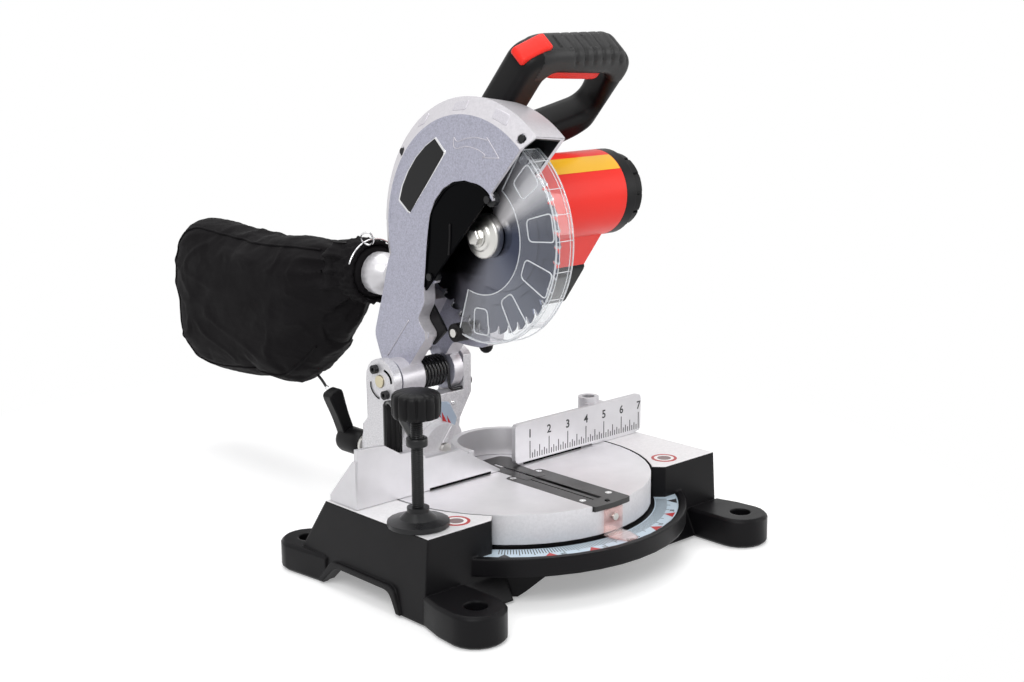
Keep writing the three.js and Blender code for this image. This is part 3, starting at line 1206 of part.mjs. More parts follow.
function lockPin() {
  return joined([
    rod("x", LOCK_PIN_RADIUS, EAR_RIGHT_IN + GAP, EAR_RIGHT_OUT + 2 * GAP, [0, 0, 0], ROUND_SMALL),
    rod("x", LOCK_PIN_HEAD_RADIUS, EAR_RIGHT_OUT + GAP, EAR_RIGHT_OUT + LOCK_PIN_HEAD, [0, 0, 0], ROUND_SMALL),
  ]);
}

// A half plane that lies under the front opening's edge, in (y, z) from the blade's centre.
function underCut(rise) {
  const far = 3 * GUARD_RADIUS;
  const normal = [Math.cos(radians(CUT_ANGLE)), Math.sin(radians(CUT_ANGLE))];
  const at = (along, out) => [normal[0] * out + normal[1] * along, normal[1] * out - normal[0] * along];
  return [at(far, rise), at(-far, rise), at(-far, -far), at(far, -far)];
}

function coverOutline(shrink) {
  const radius = COVER_RADIUS - shrink;
  return [
    ...arc(radius, 0, HALF_TURN, ROUND_SMALL), [-radius, -COVER_RADIUS], [COVER_TAIL - shrink, -COVER_RADIUS - COVER_TAIL_DROP],
    [COVER_TAIL - shrink, -COVER_TAIL_DROP],
  ];
}

const COVER_SCREW_PLACES = scaled(COVER_SCREW_SHARES, COVER_RADIUS, COVER_RADIUS);
const ARM_REACH = Math.hypot(BLADE_AHEAD, BLADE_ABOVE);
const armPoints = (shares) => scaled(shares, ARM_REACH, ARM_REACH);
const COVER_FACE = -GUARD_FACE + COVER_DEPTH;

// The motor stands off the spindle by the gears' two pitch radii.
const [[MOTOR_Y, MOTOR_RISE]] = arc((GEAR_MODULE * (GEAR_TEETH + PINION_TEETH)) / 2, MOTOR_ANGLE, MOTOR_ANGLE, 1);

const ROLLER_PLACE = [0, ...arc(ROLLER_REACH, ROLLER_ANGLE, ROLLER_ANGLE, 1)[0]];

// Room that the motor and its gearcase take beside the head casting.
function motorRoom(extra, from, to) {
  return joined([
    rod("x", BARREL_RADIUS + extra, from, to, [0, MOTOR_Y, MOTOR_RISE], ROUND_LARGE),
    rod("x", GEARCASE_RADIUS + extra, from, to, [0, 0, 0], ROUND_LARGE),
  ]);
}

function headCasting() {
  const casing = turned("x", [
    [0, -GUARD_FACE], [GUARD_FACE_RADIUS, -GUARD_FACE], [GUARD_RADIUS, -GUARD_FACE + GUARD_BEVEL],
    [GUARD_RIGHT_RADIUS, GUARD_RIGHT], [0, GUARD_RIGHT], [0, GUARD_RIGHT - GUARD_RIGHT_WALL],
    [GUARD_RIGHT_RADIUS - GUARD_WALL, GUARD_RIGHT - GUARD_RIGHT_WALL],
    [GUARD_RADIUS - GUARD_WALL, -GUARD_FACE + GUARD_BEVEL + OVERRUN],
    [GUARD_FACE_RADIUS - OVERRUN, -GUARD_FACE + GUARD_WALL], [0, -GUARD_FACE + GUARD_WALL],
  ], ROUND_LARGE);
  const under = prism("x", underCut(CUT_RISE), -2 * GUARD_FACE, 2 * GUARD_FACE);
  const coverHole = prism("x", coverOutline(0), -GUARD_FACE - OVERRUN, -GUARD_FACE + GUARD_WALL + OVERRUN);
  const pivot = [0, BLADE_AHEAD, -BLADE_ABOVE];
  const leftArm = prism("x", softened(armPoints(ARM_LEFT_SHARES), LEVER_NECK_HALF), -GUARD_FACE, -ARM_INSIDE);
  const leftHub = rod("x", HUB_RADIUS, -HUB_LEFT_OUT, -HUB_LEFT_IN, pivot);
  const rightArm = prism("x", softened(armPoints(ARM_RIGHT_SHARES), LEVER_NECK_HALF),
    GUARD_RIGHT - GUARD_RIGHT_WALL, ARM_RIGHT_OUT)
    .subtract(rod("x", SPRING_ROOM, 0, HUB_RIGHT_IN, pivot));
  const rightHub = rod("x", HUB_RADIUS, HUB_RIGHT_IN, HUB_RIGHT_OUT, pivot);
  const web = prism("x", armPoints(ARM_WEB_SHARES), -ARM_INSIDE - OVERRUN, GUARD_RIGHT);
  const flange = rod("x", BEARING_FLANGE, GUARD_RIGHT - GUARD_RIGHT_WALL, GUARD_RIGHT);
  const bearing = rod("x", BEARING_RADIUS, BEARING_START, GUARD_RIGHT);
  const bosses = COVER_SCREW_PLACES.map(([y, z]) =>
    rod("x", COVER_BOSS_RADIUS, COVER_FACE - OVERRUN, COVER_FACE + COVER_BOSS, [0, y, z], ROUND_SMALL));
  const coverRoom = prism("x", coverOutline(0), -GUARD_FACE - OVERRUN, COVER_FACE + COVER_THICK + GAP)
    .subtract(prism("x", underCut(CUT_RISE - COVER_RADIUS), -GUARD_FACE - OVERRUN, COVER_FACE + COVER_BOSS));
  const outletPlace = [-OUTLET_X, 0, -OUTLET_DROP];
  const outletPad = rod("y", ELBOW_RADIUS, ELBOW_START - 2 * GUARD_WALL, ELBOW_START - GAP, outletPlace)
    .subtract(rod("x", GUARD_RIGHT_RADIUS - GUARD_WALL / 2, -GUARD_FACE, GUARD_RIGHT, [0, 0, 0], ROUND_LARGE));
  const shell = casing.subtract(under).subtract(coverHole);
  const bumperPlace = [BUMPER_X, BUMPER_Y, 0];
  const throughX = [-2 * GUARD_FACE, 2 * GUARD_FACE];
  const screwNotches = GUARD_SCREW_ANGLES.flatMap((angle) => {
    const [[y, z]] = arc(GUARD_SCREW_REACH, angle, angle, 1);
    return [
      rod("x", GUARD_SCREW_RADIUS + OVERRUN, -2 * GUARD_FACE, -GUARD_SCREW_SEAT, [0, y, z], ROUND_SMALL),
      rod("x", GUARD_SCREW_SHANK + GAP, -2 * GUARD_FACE, -GUARD_SCREW_SEAT + GUARD_SCREW_LENGTH, [0, y, z], ROUND_SMALL),
    ];
  });
  const coverScrewHoles = COVER_SCREW_PLACES.map(([y, z]) =>
    rod("x", COVER_SCREW_SHANK + GAP, -GUARD_FACE, COVER_FACE + COVER_BOSS + OVERRUN, [0, y, z], ROUND_SMALL));
  const arms = cutBy(joined([leftArm, rightArm, web]), [
    motorRoom(GAP, GUARD_RIGHT, 2 * GUARD_RIGHT + ARM_RIGHT_OUT),
  ]);
  return cutBy(joined([shell, flange, bearing, arms, leftHub, rightHub, outletPad, ...bosses]), [
    coverRoom,
    rod("x", BORE_RADIUS + GAP, ...throughX),
    rod("x", SHAFT_RADIUS + GAP, -2 * HUB_LEFT_OUT, 2 * HUB_RIGHT_OUT, pivot),
    rod("y", ELBOW_BORE, ELBOW_START - GUARD_RADIUS / 4, ELBOW_START + OVERRUN, outletPlace),
    rod("x", ROLLER_BOLT_RADIUS + GAP, 0, 2 * GUARD_RIGHT + ARM_RIGHT_OUT, ROLLER_PLACE, ROUND_SMALL),
    rod("z", BUMPER_RADIUS + GAP, -GUARD_RADIUS, GAP - BUMPER_DROP, bumperPlace),
    rod("z", BUMPER_STUD_RADIUS + GAP, -GUARD_RADIUS, BUMPER_STUD + GAP - BUMPER_DROP, bumperPlace, ROUND_SMALL),
    ...coverScrewHoles,
    ...screwNotches,
  ]);
}

function coverPlate() {
  const plate = prism("x", coverOutline(GAP), COVER_FACE, COVER_FACE + COVER_THICK)
    .subtract(prism("x", underCut(CUT_RISE), -2 * GUARD_FACE, 0));
  return cutBy(plate, COVER_SCREW_PLACES.map(([y, z]) =>
    rod("x", COVER_SCREW_SHANK + GAP, -2 * GUARD_FACE, 0, [0, y, z], ROUND_SMALL)));
}

function sideScrew(name, radius, head, shank, length, place) {
  const shape = joined([
    rod("x", radius, -head, 0, [0, 0, 0], ROUND_SMALL),
    rod("x", shank, -head / 2, length, [0, 0, 0], ROUND_SMALL),
  ]);
  const mesh = piece(name, shape, BLACK_STEEL);
  mesh.position.set(...place);
  return mesh;
}

function dustGuide() {
  return prism("x", armPoints(DUST_GUIDE_SHARES), -ARM_INSIDE + GAP, -ARM_INSIDE + GAP + DUST_GUIDE_THICK);
}

// The blade: hooked teeth with a gullet before each.
function sawBlade() {
  const points = [];
  const step = FULL_TURN / BLADE_TEETH;
  for (let i = 0; i < BLADE_TEETH; i++) {
    const start = i * step;
    const root = BLADE_RADIUS - TOOTH_DEPTH;
    points.push(...arc(BLADE_RADIUS, start, start, 1).slice(1));
    points.push(...arc(root, start + step / 12, start + step / 12, 1).slice(1));
    points.push(...arc(root - OVERRUN, start + step / 4, start + step / 4, 1).slice(1));
    points.push(...arc(BLADE_RADIUS - TOOTH_DEPTH / 4, start + (2 * step) / 3, start + (2 * step) / 3, 1).slice(1));
  }
  return prism("x", points, -BLADE_HALF, BLADE_HALF, 0, [circle(BORE_RADIUS)]);
}

// Where each piece on the spindle starts, counted from the blade's plane.
const OUTER_FLANGE_RIGHT = -BLADE_HALF - GAP;
const INNER_FLANGE_LEFT = BLADE_HALF + GAP;
const ARBOR_SEAT = OUTER_FLANGE_RIGHT - FLANGE_THICK - GAP;
const SPINDLE_LEFT = OUTER_FLANGE_RIGHT - FLANGE_THICK;

function flange(from, to, bore) {
  const lip = from < to ? FLANGE_LIP : -FLANGE_LIP;
  return turned("x", [
    [bore, from], [FLANGE_RADIUS, from], [FLANGE_RADIUS, from + lip], [FLANGE_RADIUS * FLANGE_FACE_SHARE, to], [bore, to],
  ]);
}

function arborBolt() {
  return joined([
    rod("x", ARBOR_HEAD_RADIUS, ARBOR_SEAT - ARBOR_HEAD, ARBOR_SEAT, [0, 0, 0], 6),
    rod("x", ARBOR_SHANK, ARBOR_SEAT - OVERRUN, ARBOR_SEAT + ARBOR_LENGTH, [0, 0, 0], ROUND_SMALL),
  ]);
}

function spindle() {
  const radius = BORE_RADIUS - GAP;
  return turned("x", [
    [0, SPINDLE_LEFT + ARBOR_LENGTH + OVERRUN], [ARBOR_SHANK + GAP, SPINDLE_LEFT + ARBOR_LENGTH + OVERRUN],
    [ARBOR_SHANK + GAP, SPINDLE_LEFT], [radius, SPINDLE_LEFT], [radius, GEAR_LEFT - GAP],
    [GEAR_BORE - GAP, GEAR_LEFT - GAP], [GEAR_BORE - GAP, SPINDLE_END],
    [SPINDLE_TAIL_RADIUS, SPINDLE_END], [SPINDLE_TAIL_RADIUS, SPINDLE_END + SPINDLE_TAIL],
    [0, SPINDLE_END + SPINDLE_TAIL],
  ]);
}

// An involute spur gear. A tooth's flank is the involute of its base circle.
function gearOutline(teeth, startShare) {
  const pitch = (GEAR_MODULE * teeth) / 2;
  const base = pitch * Math.cos(radians(GEAR_PRESSURE_ANGLE));
  const tip = pitch + GEAR_TIP_SHARE * GEAR_MODULE;
  const root = pitch - GEAR_ROOT_SHARE * GEAR_MODULE;
  const spread = (radius) => {
    const angle = Math.acos(Math.min(base / radius, 1));
    return Math.tan(angle) - angle;
  };
  const halfAtPitch = Math.PI / (2 * teeth) - GEAR_BACKLASH / (4 * pitch);
  const half = (radius) => halfAtPitch + spread(pitch) - spread(Math.max(radius, base));
  const low = Math.max(root, base);
  const flank = [low, (low + tip) / 2, tip];
  const points = [];
  for (let i = 0; i < teeth; i++) {
    const middle = (2 * Math.PI * (i + startShare)) / teeth;
    const put = (radius, angle) => points.push([radius * Math.cos(angle), radius * Math.sin(angle)]);
    put(root, middle - half(low));
    flank.forEach((radius) => put(radius, middle - half(radius)));
    flank.toReversed().forEach((radius) => put(radius, middle + half(radius)));
    put(root, middle + half(low));
  }
  return points;
}

function spindleGear() {
  const gear = prism("x", gearOutline(GEAR_TEETH, 0), GEAR_LEFT, GEAR_LEFT + GEAR_WIDE, 0, [circle(GEAR_BORE)]);
  return gear.rotate([MOTOR_ANGLE, 0, 0]);
}

function pinion() {
  const gear = prism("x", gearOutline(PINION_TEETH, 0.5), GEAR_LEFT, GEAR_LEFT + GEAR_WIDE, 0,
    [circle(ROTOR_SHAFT + GAP, ROUND_SMALL)]);
  return gear.rotate([MOTOR_ANGLE + HALF_TURN, 0, 0]);
}

function motorRotor() {
  return turned("x", [
    [0, GEAR_LEFT - OVERRUN], [ROTOR_SHAFT, GEAR_LEFT - OVERRUN], [ROTOR_SHAFT, ROTOR_LEFT],
    [ROTOR_RADIUS, ROTOR_LEFT], [ROTOR_RADIUS, ROTOR_RIGHT], [COMMUTATOR_RADIUS, ROTOR_RIGHT],
    [COMMUTATOR_RADIUS, COMMUTATOR_RIGHT], [ROTOR_SHAFT, COMMUTATOR_RIGHT], [ROTOR_SHAFT, ROTOR_SHAFT_RIGHT],
    [0, ROTOR_SHAFT_RIGHT],
  ]);
}

// The lower guard: a clear channel round the blade with raised frames on its left side, which is open at the hub.
function lowerGuard() {
  const sector = (inner, from, to) => prism("x",
    ringSector(inner, LOWER_RADIUS, LOWER_START_ANGLE, LOWER_END_ANGLE, LOWER_STEPS), from, to);
  const leftPlate = sector(LOWER_INNER, -LOWER_LEFT, -LOWER_LEFT + LOWER_WALL);
  const rim = sector(LOWER_RADIUS - LOWER_WALL, -LOWER_LEFT, LOWER_RIGHT);
  const rightPlate = sector(LOWER_RIGHT_INNER, LOWER_RIGHT - LOWER_WALL, LOWER_RIGHT);
  const hubInner = BEARING_RADIUS + GAP;
  const hub = tube("x", hubInner, hubInner + LOWER_HUB, LOWER_RIGHT - LOWER_WALL, LOWER_RIGHT, [0, 0, 0], ROUND);
  const span = LOWER_END_ANGLE - LOWER_START_ANGLE;
  const spokes = [LOWER_START_ANGLE + SPOKE_ANGLE, LOWER_START_ANGLE + span / 2, LOWER_END_ANGLE - SPOKE_ANGLE]
    .map((angle) => prism("x", rectangle(hubInner + LOWER_WALL, LOWER_RIGHT_INNER + LOWER_WALL, -LOWER_SPOKE_HALF,
      LOWER_SPOKE_HALF), LOWER_RIGHT - LOWER_WALL, LOWER_RIGHT).rotate([angle, 0, 0]));
  const frames = [];
  for (let i = 0; i < PANEL_COUNT; i++) {
    const middle = LOWER_START_ANGLE + (span * (i + 0.5)) / PANEL_COUNT;
    const panel = (inset, from) => {
      const turn = PANEL_HALF_ANGLE - THREE.MathUtils.radToDeg(inset / PANEL_OUT);
      return prism("x", softened(ringSector(PANEL_IN + inset, PANEL_OUT - inset, middle - turn, middle + turn, 1),
        2 * LOWER_WALL, 2), from, -LOWER_LEFT + LOWER_WALL / 2);
    };
    frames.push(panel(0, -LOWER_LEFT - PANEL_PROUD).subtract(panel(PANEL_LINE, -LOWER_LEFT - OVERRUN)));
  }
  return joined([leftPlate, rim, rightPlate, hub, ...spokes, ...frames]);
}

function guardRoller() {
  return tube("x", ROLLER_BOLT_RADIUS + GAP, ROLLER_RADIUS, -ROLLER_WIDE, 0, [0, 0, 0], ROUND);
}

function rollerBolt() {
  return joined([
    rod("x", ROLLER_BOLT_HEAD_RADIUS, -ROLLER_WIDE - GAP - ROLLER_BOLT_HEAD, -ROLLER_WIDE - GAP, [0, 0, 0], ROUND_SMALL),
    rod("x", ROLLER_BOLT_RADIUS, -ROLLER_WIDE - OVERRUN, ARM_RIGHT_OUT - OVERRUN, [0, 0, 0], ROUND_SMALL),
    tube("x", ROLLER_BOLT_RADIUS - OVERRUN, ROLLER_BOLT_HEAD_RADIUS, GAP, GUARD_RIGHT - GUARD_RIGHT_WALL - GAP,
      [0, 0, 0], ROUND_SMALL),
  ]);
}

// The rubber dome that lands on the fence's bow when the head is down.
function bumper() {
  const dome = arc(1, -HALF_TURN / 2, 0, 4).map(([out, down]) => [out * BUMPER_RADIUS, down * BUMPER_TALL]);
  return turned("z", [
    [0, -BUMPER_TALL], ...dome.slice(1), [BUMPER_STUD_RADIUS, 0], [BUMPER_STUD_RADIUS, BUMPER_STUD],
    [0, BUMPER_STUD],
  ]);
}

// The battery's own frame: x, then down its slide, then away from the user's side of the pack.
function packFrame(...children) {
  const made = group([0, PACK_Y, -PACK_DROP], ...children);
  made.rotation.x = radians(-PACK_LEAN);
  return made;
}

const PACK_MIDDLE = (PACK_LEFT + BARREL_RIGHT) / 2;

function tongue(grow, from, to) {
  const outline = [
    [-TONGUE_HALF - grow, PACK_THICK - OVERRUN], [TONGUE_HALF + grow, PACK_THICK - OVERRUN],
    [TONGUE_HALF + TONGUE_FLARE + grow, PACK_THICK + TONGUE_THICK + grow],
    [-TONGUE_HALF - TONGUE_FLARE - grow, PACK_THICK + TONGUE_THICK + grow],
  ];
  return prism("y", outline.map(([x, t]) => [x + PACK_MIDDLE, t]), from, to);
}

function batteryPack() {
  const pack = prism("x", softened(rectangle(0, PACK_LENGTH, 0, PACK_THICK), PACK_EDGE * 2),
    PACK_LEFT, BARREL_RIGHT, PACK_EDGE);
  return pack.add(tongue(0, TONGUE_SHORT, PACK_LENGTH - TONGUE_SHORT));
}

function packFoot() {
  const [left, right] = [PACK_LEFT + PACK_FOOT_INSET, BARREL_RIGHT - PACK_FOOT_INSET];
  const far = PACK_THICK + TONGUE_THICK + PACK_FOOT_THICK;
  const head = prism("x", softened(rectangle(-PACK_FOOT_UP, -GAP, 0, far), PACK_EDGE), left, right, OVERRUN);
  const rail = prism("x", rectangle(-PACK_FOOT_UP, PACK_FOOT_DOWN, PACK_THICK + GAP, far), left, right, OVERRUN);
  return head.add(rail).subtract(tongue(GAP, -GAP, 2 * PACK_LENGTH));
}

// The handle's own frame: x, then up its length, then toward the user.
const HANDLE_TURN = HALF_TURN / 2 + HANDLE_LEAN;

function handleFrame(...children) {
  const lean = radians(HANDLE_LEAN);
  const made = group([0, HANDLE_BEHIND * Math.cos(lean), HANDLE_BEHIND * Math.sin(lean)], ...children);
  made.rotation.x = radians(HANDLE_TURN);
  return made;
}

function inHandleFrame(shape) {
  const lean = radians(HANDLE_LEAN);
  return shape.translate([0, -HANDLE_BEHIND * Math.cos(lean), -HANDLE_BEHIND * Math.sin(lean)])
    .rotate([-HANDLE_TURN, 0, 0]);
}

const handlePoints = (shares) => scaled(shares, HANDLE_WIDE, HANDLE_TALL, HANDLE_LEFT, 0);
const TRIGGER_LEFT = HANDLE_LEFT + HANDLE_WIDE * TRIGGER_START_SHARE;
const TRIGGER_RIGHT = HANDLE_LEFT + HANDLE_WIDE * TRIGGER_END_SHARE;
const GRIP_UNDER = HANDLE_TALL * HANDLE_GAP_SHARES[0][1];

function triggerBlock(grow, drop, rise) {
  return prism("z", softened(rectangle(TRIGGER_LEFT - grow, TRIGGER_RIGHT + grow,
    GRIP_UNDER - drop, GRIP_UNDER + TRIGGER_BODY + rise), TRIGGER_CORNER),
    -TRIGGER_WIDE / 2 - grow, TRIGGER_WIDE / 2 + grow);
}

const LOCKOFF_SLOPE = (() => {
  const [low, high] = handlePoints(LOCKOFF_SHARES.slice(1, 3)).map((point) => new THREE.Vector2(...point));
  return high.sub(low).normalize();
})();

// The lock-off button follows the handle's corner and is pressed square to its slope.
function lockoffOutline(out, into) {
  const inward = [LOCKOFF_SLOPE.y, -LOCKOFF_SLOPE.x];
  const edge = handlePoints(LOCKOFF_SHARES);
  const shifted = (distance) => edge.map(([x, y]) => [x + inward[0] * distance, y + inward[1] * distance]);
  return [...shifted(-out), ...shifted(into).reverse()];
}

function handleShell(name, near, far) {
  const outline = softened(handlePoints(HANDLE_SHARES), HANDLE_ROUND);
  const opening = softened(handlePoints(HANDLE_GAP_SHARES), HANDLE_ROUND);
  const whole = prism("z", outline, -HANDLE_THICK / 2, HANDLE_THICK / 2, HANDLE_EDGE)
    .subtract(prism("z", opening, -HANDLE_THICK, HANDLE_THICK));
  const guard = inHandleFrame(rod("x", GUARD_RADIUS + GAP, -2 * GUARD_FACE, GUARD_RIGHT + GAP, [0, 0, 0], ROUND_LARGE));
  const barrel = inHandleFrame(motorRoom(GAP, 0, BARREL_RIGHT + GAP));
  const grooves = [];
  for (let i = 0; i < GROOVE_COUNT; i++) {
    const x = HANDLE_LEFT + HANDLE_WIDE * GROOVE_START_SHARE + GROOVE_STEP * i;
    grooves.push(block([x - GROOVE_HALF, x + GROOVE_HALF], [HANDLE_TALL - GROOVE_DEPTH, 2 * HANDLE_TALL],
      [-HANDLE_THICK / 3, HANDLE_THICK / 3]));
  }
  const lockRoom = prism("z", lockoffOutline(LOCKOFF_PROUD + OVERRUN, LOCKOFF_DEPTH + LOCKOFF_TRAVEL + GAP),
    -LOCKOFF_WIDE / 2 - GAP, LOCKOFF_WIDE / 2 + GAP);
  const halfSpace = block([-2 * HANDLE_WIDE, 2 * HANDLE_WIDE], [-2 * HANDLE_TALL, 2 * HANDLE_TALL], [near, far]);
  const shell = cutBy(whole, [
    guard, barrel, ...grooves, lockRoom, triggerBlock(GAP, 2 * TRIGGER_PROUD, TRIGGER_TRAVEL + GAP),
  ]).intersect(halfSpace);
  return piece(name, shell, BLACK_PLASTIC);
}

function motorHousing() {
  const barrel = turned("x", [
    [0, GUARD_RIGHT + GAP], [BARREL_RADIUS - BARREL_CHAMFER, GUARD_RIGHT + GAP],
    [BARREL_RADIUS, GUARD_RIGHT + GAP + BARREL_CHAMFER], [BARREL_RADIUS, BARREL_RIGHT], [0, BARREL_RIGHT],
  ], ROUND_LARGE, [0, MOTOR_Y, MOTOR_RISE]);
  const gearcase = rod("x", GEARCASE_RADIUS, GUARD_RIGHT + GAP, GEARCASE_RIGHT, [0, 0, 0], ROUND_LARGE);
  const foot = packFoot().rotate([-PACK_LEAN, 0, 0]).translate([0, PACK_Y, -PACK_DROP]);
  const lean = radians(HANDLE_LEAN);
  const pad = block([HANDLE_PAD_LEFT, HANDLE_PAD_RIGHT], [0, HANDLE_PAD_TALL],
    [HANDLE_THICK / 2 + GAP, HANDLE_THICK])
    .rotate([HANDLE_TURN, 0, 0])
    .translate([0, HANDLE_BEHIND * Math.cos(lean), HANDLE_BEHIND * Math.sin(lean)]);
  const motorAxis = [0, MOTOR_Y, MOTOR_RISE];
  const pitch = GEAR_MODULE / 2;
  return cutBy(joined([barrel, gearcase, foot, pad]), [
    rod("x", pitch * (GEAR_TEETH + 2) + CHAMBER_GAP, 0, CHAMBER_RIGHT),
    rod("x", pitch * (PINION_TEETH + 2) + CHAMBER_GAP, 0, CHAMBER_RIGHT, motorAxis),
    rod("x", SPINDLE_TAIL_RADIUS + GAP, 0, SPINDLE_END + SPINDLE_TAIL + GAP, [0, 0, 0], ROUND_SMALL),
    rod("x", ROTOR_SHAFT + GAP, 0, BARREL_RIGHT, motorAxis, ROUND_SMALL),
    rod("x", MOTOR_BORE, BEARING_WALL_RIGHT, BARREL_RIGHT + OVERRUN, motorAxis),
  ]);
}

function motorCap() {
  const left = BARREL_RIGHT + GAP;
  const body = turned("x", [
    [0, left + CAP_POCKET], [ROTOR_SHAFT + GAP, left + CAP_POCKET], [ROTOR_SHAFT + GAP, left],
    [BARREL_RADIUS, left], [BARREL_RADIUS, CAP_STEP], [CAP_STEP_RADIUS, CAP_STEP + CAP_FIN],
    [CAP_STEP_RADIUS, CAP_RIGHT - 2 * CAP_FIN], [CAP_FACE_RADIUS, CAP_RIGHT], [0, CAP_RIGHT],
  ], ROUND_LARGE);
  const fins = [];
  for (let i = 0; i < CAP_FINS; i++) {
    const slot = block([CAP_STEP + 2 * CAP_FIN, CAP_RIGHT + OVERRUN], [CAP_STEP_RADIUS - CAP_FIN, 2 * BARREL_RADIUS],
      [-CAP_FIN / 2, CAP_FIN / 2]);
    fins.push(slot.rotate([(FULL_TURN * i) / CAP_FINS, 0, 0]));
  }
  const [[y, z]] = arc(CAP_BUMP_REACH, CAP_BUMP_ANGLE, CAP_BUMP_ANGLE, 1);
  const bump = rod("x", CAP_BUMP_RADIUS, CAP_STEP, CAP_RIGHT - CAP_FIN, [0, y, z], ROUND_SMALL);
  return cutBy(body, fins).add(bump);
}

function dustElbow() {
  const profile = [
    [ELBOW_BORE, ELBOW_START], [ELBOW_RADIUS, ELBOW_START], [ELBOW_RADIUS, ELBOW_DOME - ELBOW_RADIUS / 2],
    [ELBOW_DOME_RADIUS * ELBOW_SHOULDER_SHARE, ELBOW_DOME], [ELBOW_DOME_RADIUS, ELBOW_DOME + ELBOW_RADIUS / 2],
    [ELBOW_DOME_RADIUS, ELBOW_RIM], [ELBOW_STUB_RADIUS, ELBOW_RIM], [ELBOW_STUB_RADIUS, ELBOW_STUB],
    [ELBOW_STUB_RADIUS - GUARD_WALL, ELBOW_STUB], [ELBOW_STUB_RADIUS - GUARD_WALL, ELBOW_DOME + ELBOW_RADIUS / 2],
    [ELBOW_BORE, ELBOW_DOME - ELBOW_RADIUS / 2],
  ];
  return turned("y", profile);
}

function bagRing() {
  const place = BAG_NECK_RADIUS + RING_WIRE + GAP;
  const section = circle(RING_WIRE, 6).map(([u, v]) => [place + u, RING_PLACE + v]);
  return turned("y", section);
}

function dustBag() {
  const side = scaled(BAG_SHARES, BAG_LENGTH, -BAG_HEIGHT, BAG_NECK_END - OVERRUN, 0);
  const body = prism("x", softened(side, BAG_ROUND), -BAG_HALF, BAG_HALF, BAG_EDGE)
    .translate([0, 0, OUTLET_DROP + BAG_TOP]);
  const neck = rod("y", BAG_NECK_RADIUS, BAG_NECK_START, BAG_NECK_END + BAG_EDGE);
  const pocket = rod("y", ELBOW_STUB_RADIUS + GAP, 0, ELBOW_STUB + GAP);
  return body.add(neck).subtract(pocket);
}

// The work clamp: a post in the fence, an arm, and a screw that presses a swivelling pad.
const CLAMP_REACH = Math.hypot(CLAMP_X - POST_X, CLAMP_Y + POST_Y);
const CLAMP_TURN = Math.atan2(-(CLAMP_Y + POST_Y), -(CLAMP_X - POST_X));

function clampPost() {
  const shoulder = TABLE_HEIGHT + 2 * GAP + POST_BOSS_LEFT;
  const bar = block([-POST_BAR_HALF, POST_BAR_HALF], [-POST_BAR_HALF, POST_BAR_HALF], [shoulder, ARM_BOTTOM - GAP]);
  return rod("z", POST_RADIUS, TABLE_HEIGHT + 2 * BASE_CLEAR, POST_TOP).add(bar);
}

function clampArm() {
  const bar = prism("x", rectangle(-ARM_HALF, ARM_HALF, ARM_BOTTOM, ARM_TOP), 0, CLAMP_REACH, ARM_EDGE);
  const socket = rod("z", ARM_SOCKET_RADIUS, ARM_BOTTOM, ARM_TOP);
  const collar = rod("z", COLLAR_RADIUS, ARM_BOTTOM, ARM_TOP, [CLAMP_REACH, 0, 0]);
  return cutBy(joined([bar, socket, collar]), [
    rod("z", POST_RADIUS + GAP, 0, POST_TOP + GAP),
    rod("z", SCREW_RADIUS + SCREW_CREST + GAP, 0, 2 * ARM_TOP, [CLAMP_REACH, 0, 0]),
  ]);
}

function clampScrew() {
  const flutes = [];
  for (let i = 0; i < 2 * KNOB_FLUTES; i++) {
    const radius = KNOB_RADIUS - (i % 2 ? 2 * KNOB_FLUTE : 0);
    const angle = (HALF_TURN * i) / KNOB_FLUTES;
    flutes.push(...arc(radius, angle, angle, 1).slice(1));
  }
  const knob = prism("z", flutes, KNOB_BOTTOM, KNOB_TOP, KNOB_FLUTE);
  return knob.add(rod("z", SCREW_RADIUS, SCREW_BOTTOM, KNOB_BOTTOM + OVERRUN));
}

function clampFoot() {
  const bottom = TABLE_HEIGHT + PAD_LIFT;
  const hubTop = TABLE_HEIGHT + PAD_HUB_TOP;
  return turned("z", [
    [0, bottom], [PAD_RADIUS, bottom], [PAD_RADIUS, bottom + PAD_THICK],
    [PAD_RADIUS * PAD_SHOULDER_SHARE, bottom + PAD_DOME],
    [PAD_HUB_RADIUS, hubTop - PAD_THICK], [PAD_HUB_RADIUS, hubTop], [SCREW_RADIUS + GAP, hubTop],
    [SCREW_RADIUS + GAP, SCREW_BOTTOM - GAP], [0, SCREW_BOTTOM - GAP],
  ]);
}

const springWire = springPath();
console.log(`torsion spring: least gap to itself ${leastGap(springWire, SPRING_WIRE).toFixed(2)} mm`);

const battery = packFrame(piece("battery_pack", batteryPack(), BLACK_PLASTIC));

const trigger = piece("trigger", triggerBlock(0, TRIGGER_PROUD, 0), RED_PLASTIC);
const lockButton = piece("lock_button",
  prism("z", lockoffOutline(LOCKOFF_PROUD, LOCKOFF_DEPTH), -LOCKOFF_WIDE / 2, LOCKOFF_WIDE / 2), RED_PLASTIC);
const handle = handleFrame(
  handleShell("handle_front", GAP / 2, HANDLE_THICK),
  handleShell("handle_rear", -HANDLE_THICK, -GAP / 2),
  trigger,
  lockButton,
);

const motor = group([0, MOTOR_Y, MOTOR_RISE],
  piece("motor_cap", motorCap(), BLACK_PLASTIC),
  piece("motor_rotor", motorRotor(), COPPER),
  piece("pinion", pinion(), STEEL),
);

const dust = group([-OUTLET_X, 0, -OUTLET_DROP],
  piece("dust_elbow", dustElbow(), SILVER_PAINT),
  piece("bag_ring", bagRing(), STEEL),
  piece("dust_bag", dustBag(), CLOTH),
);

const roller = group(ROLLER_PLACE,
  piece("guard_roller", guardRoller(), RUBBER),
  piece("roller_bolt", rollerBolt(), STEEL),
);

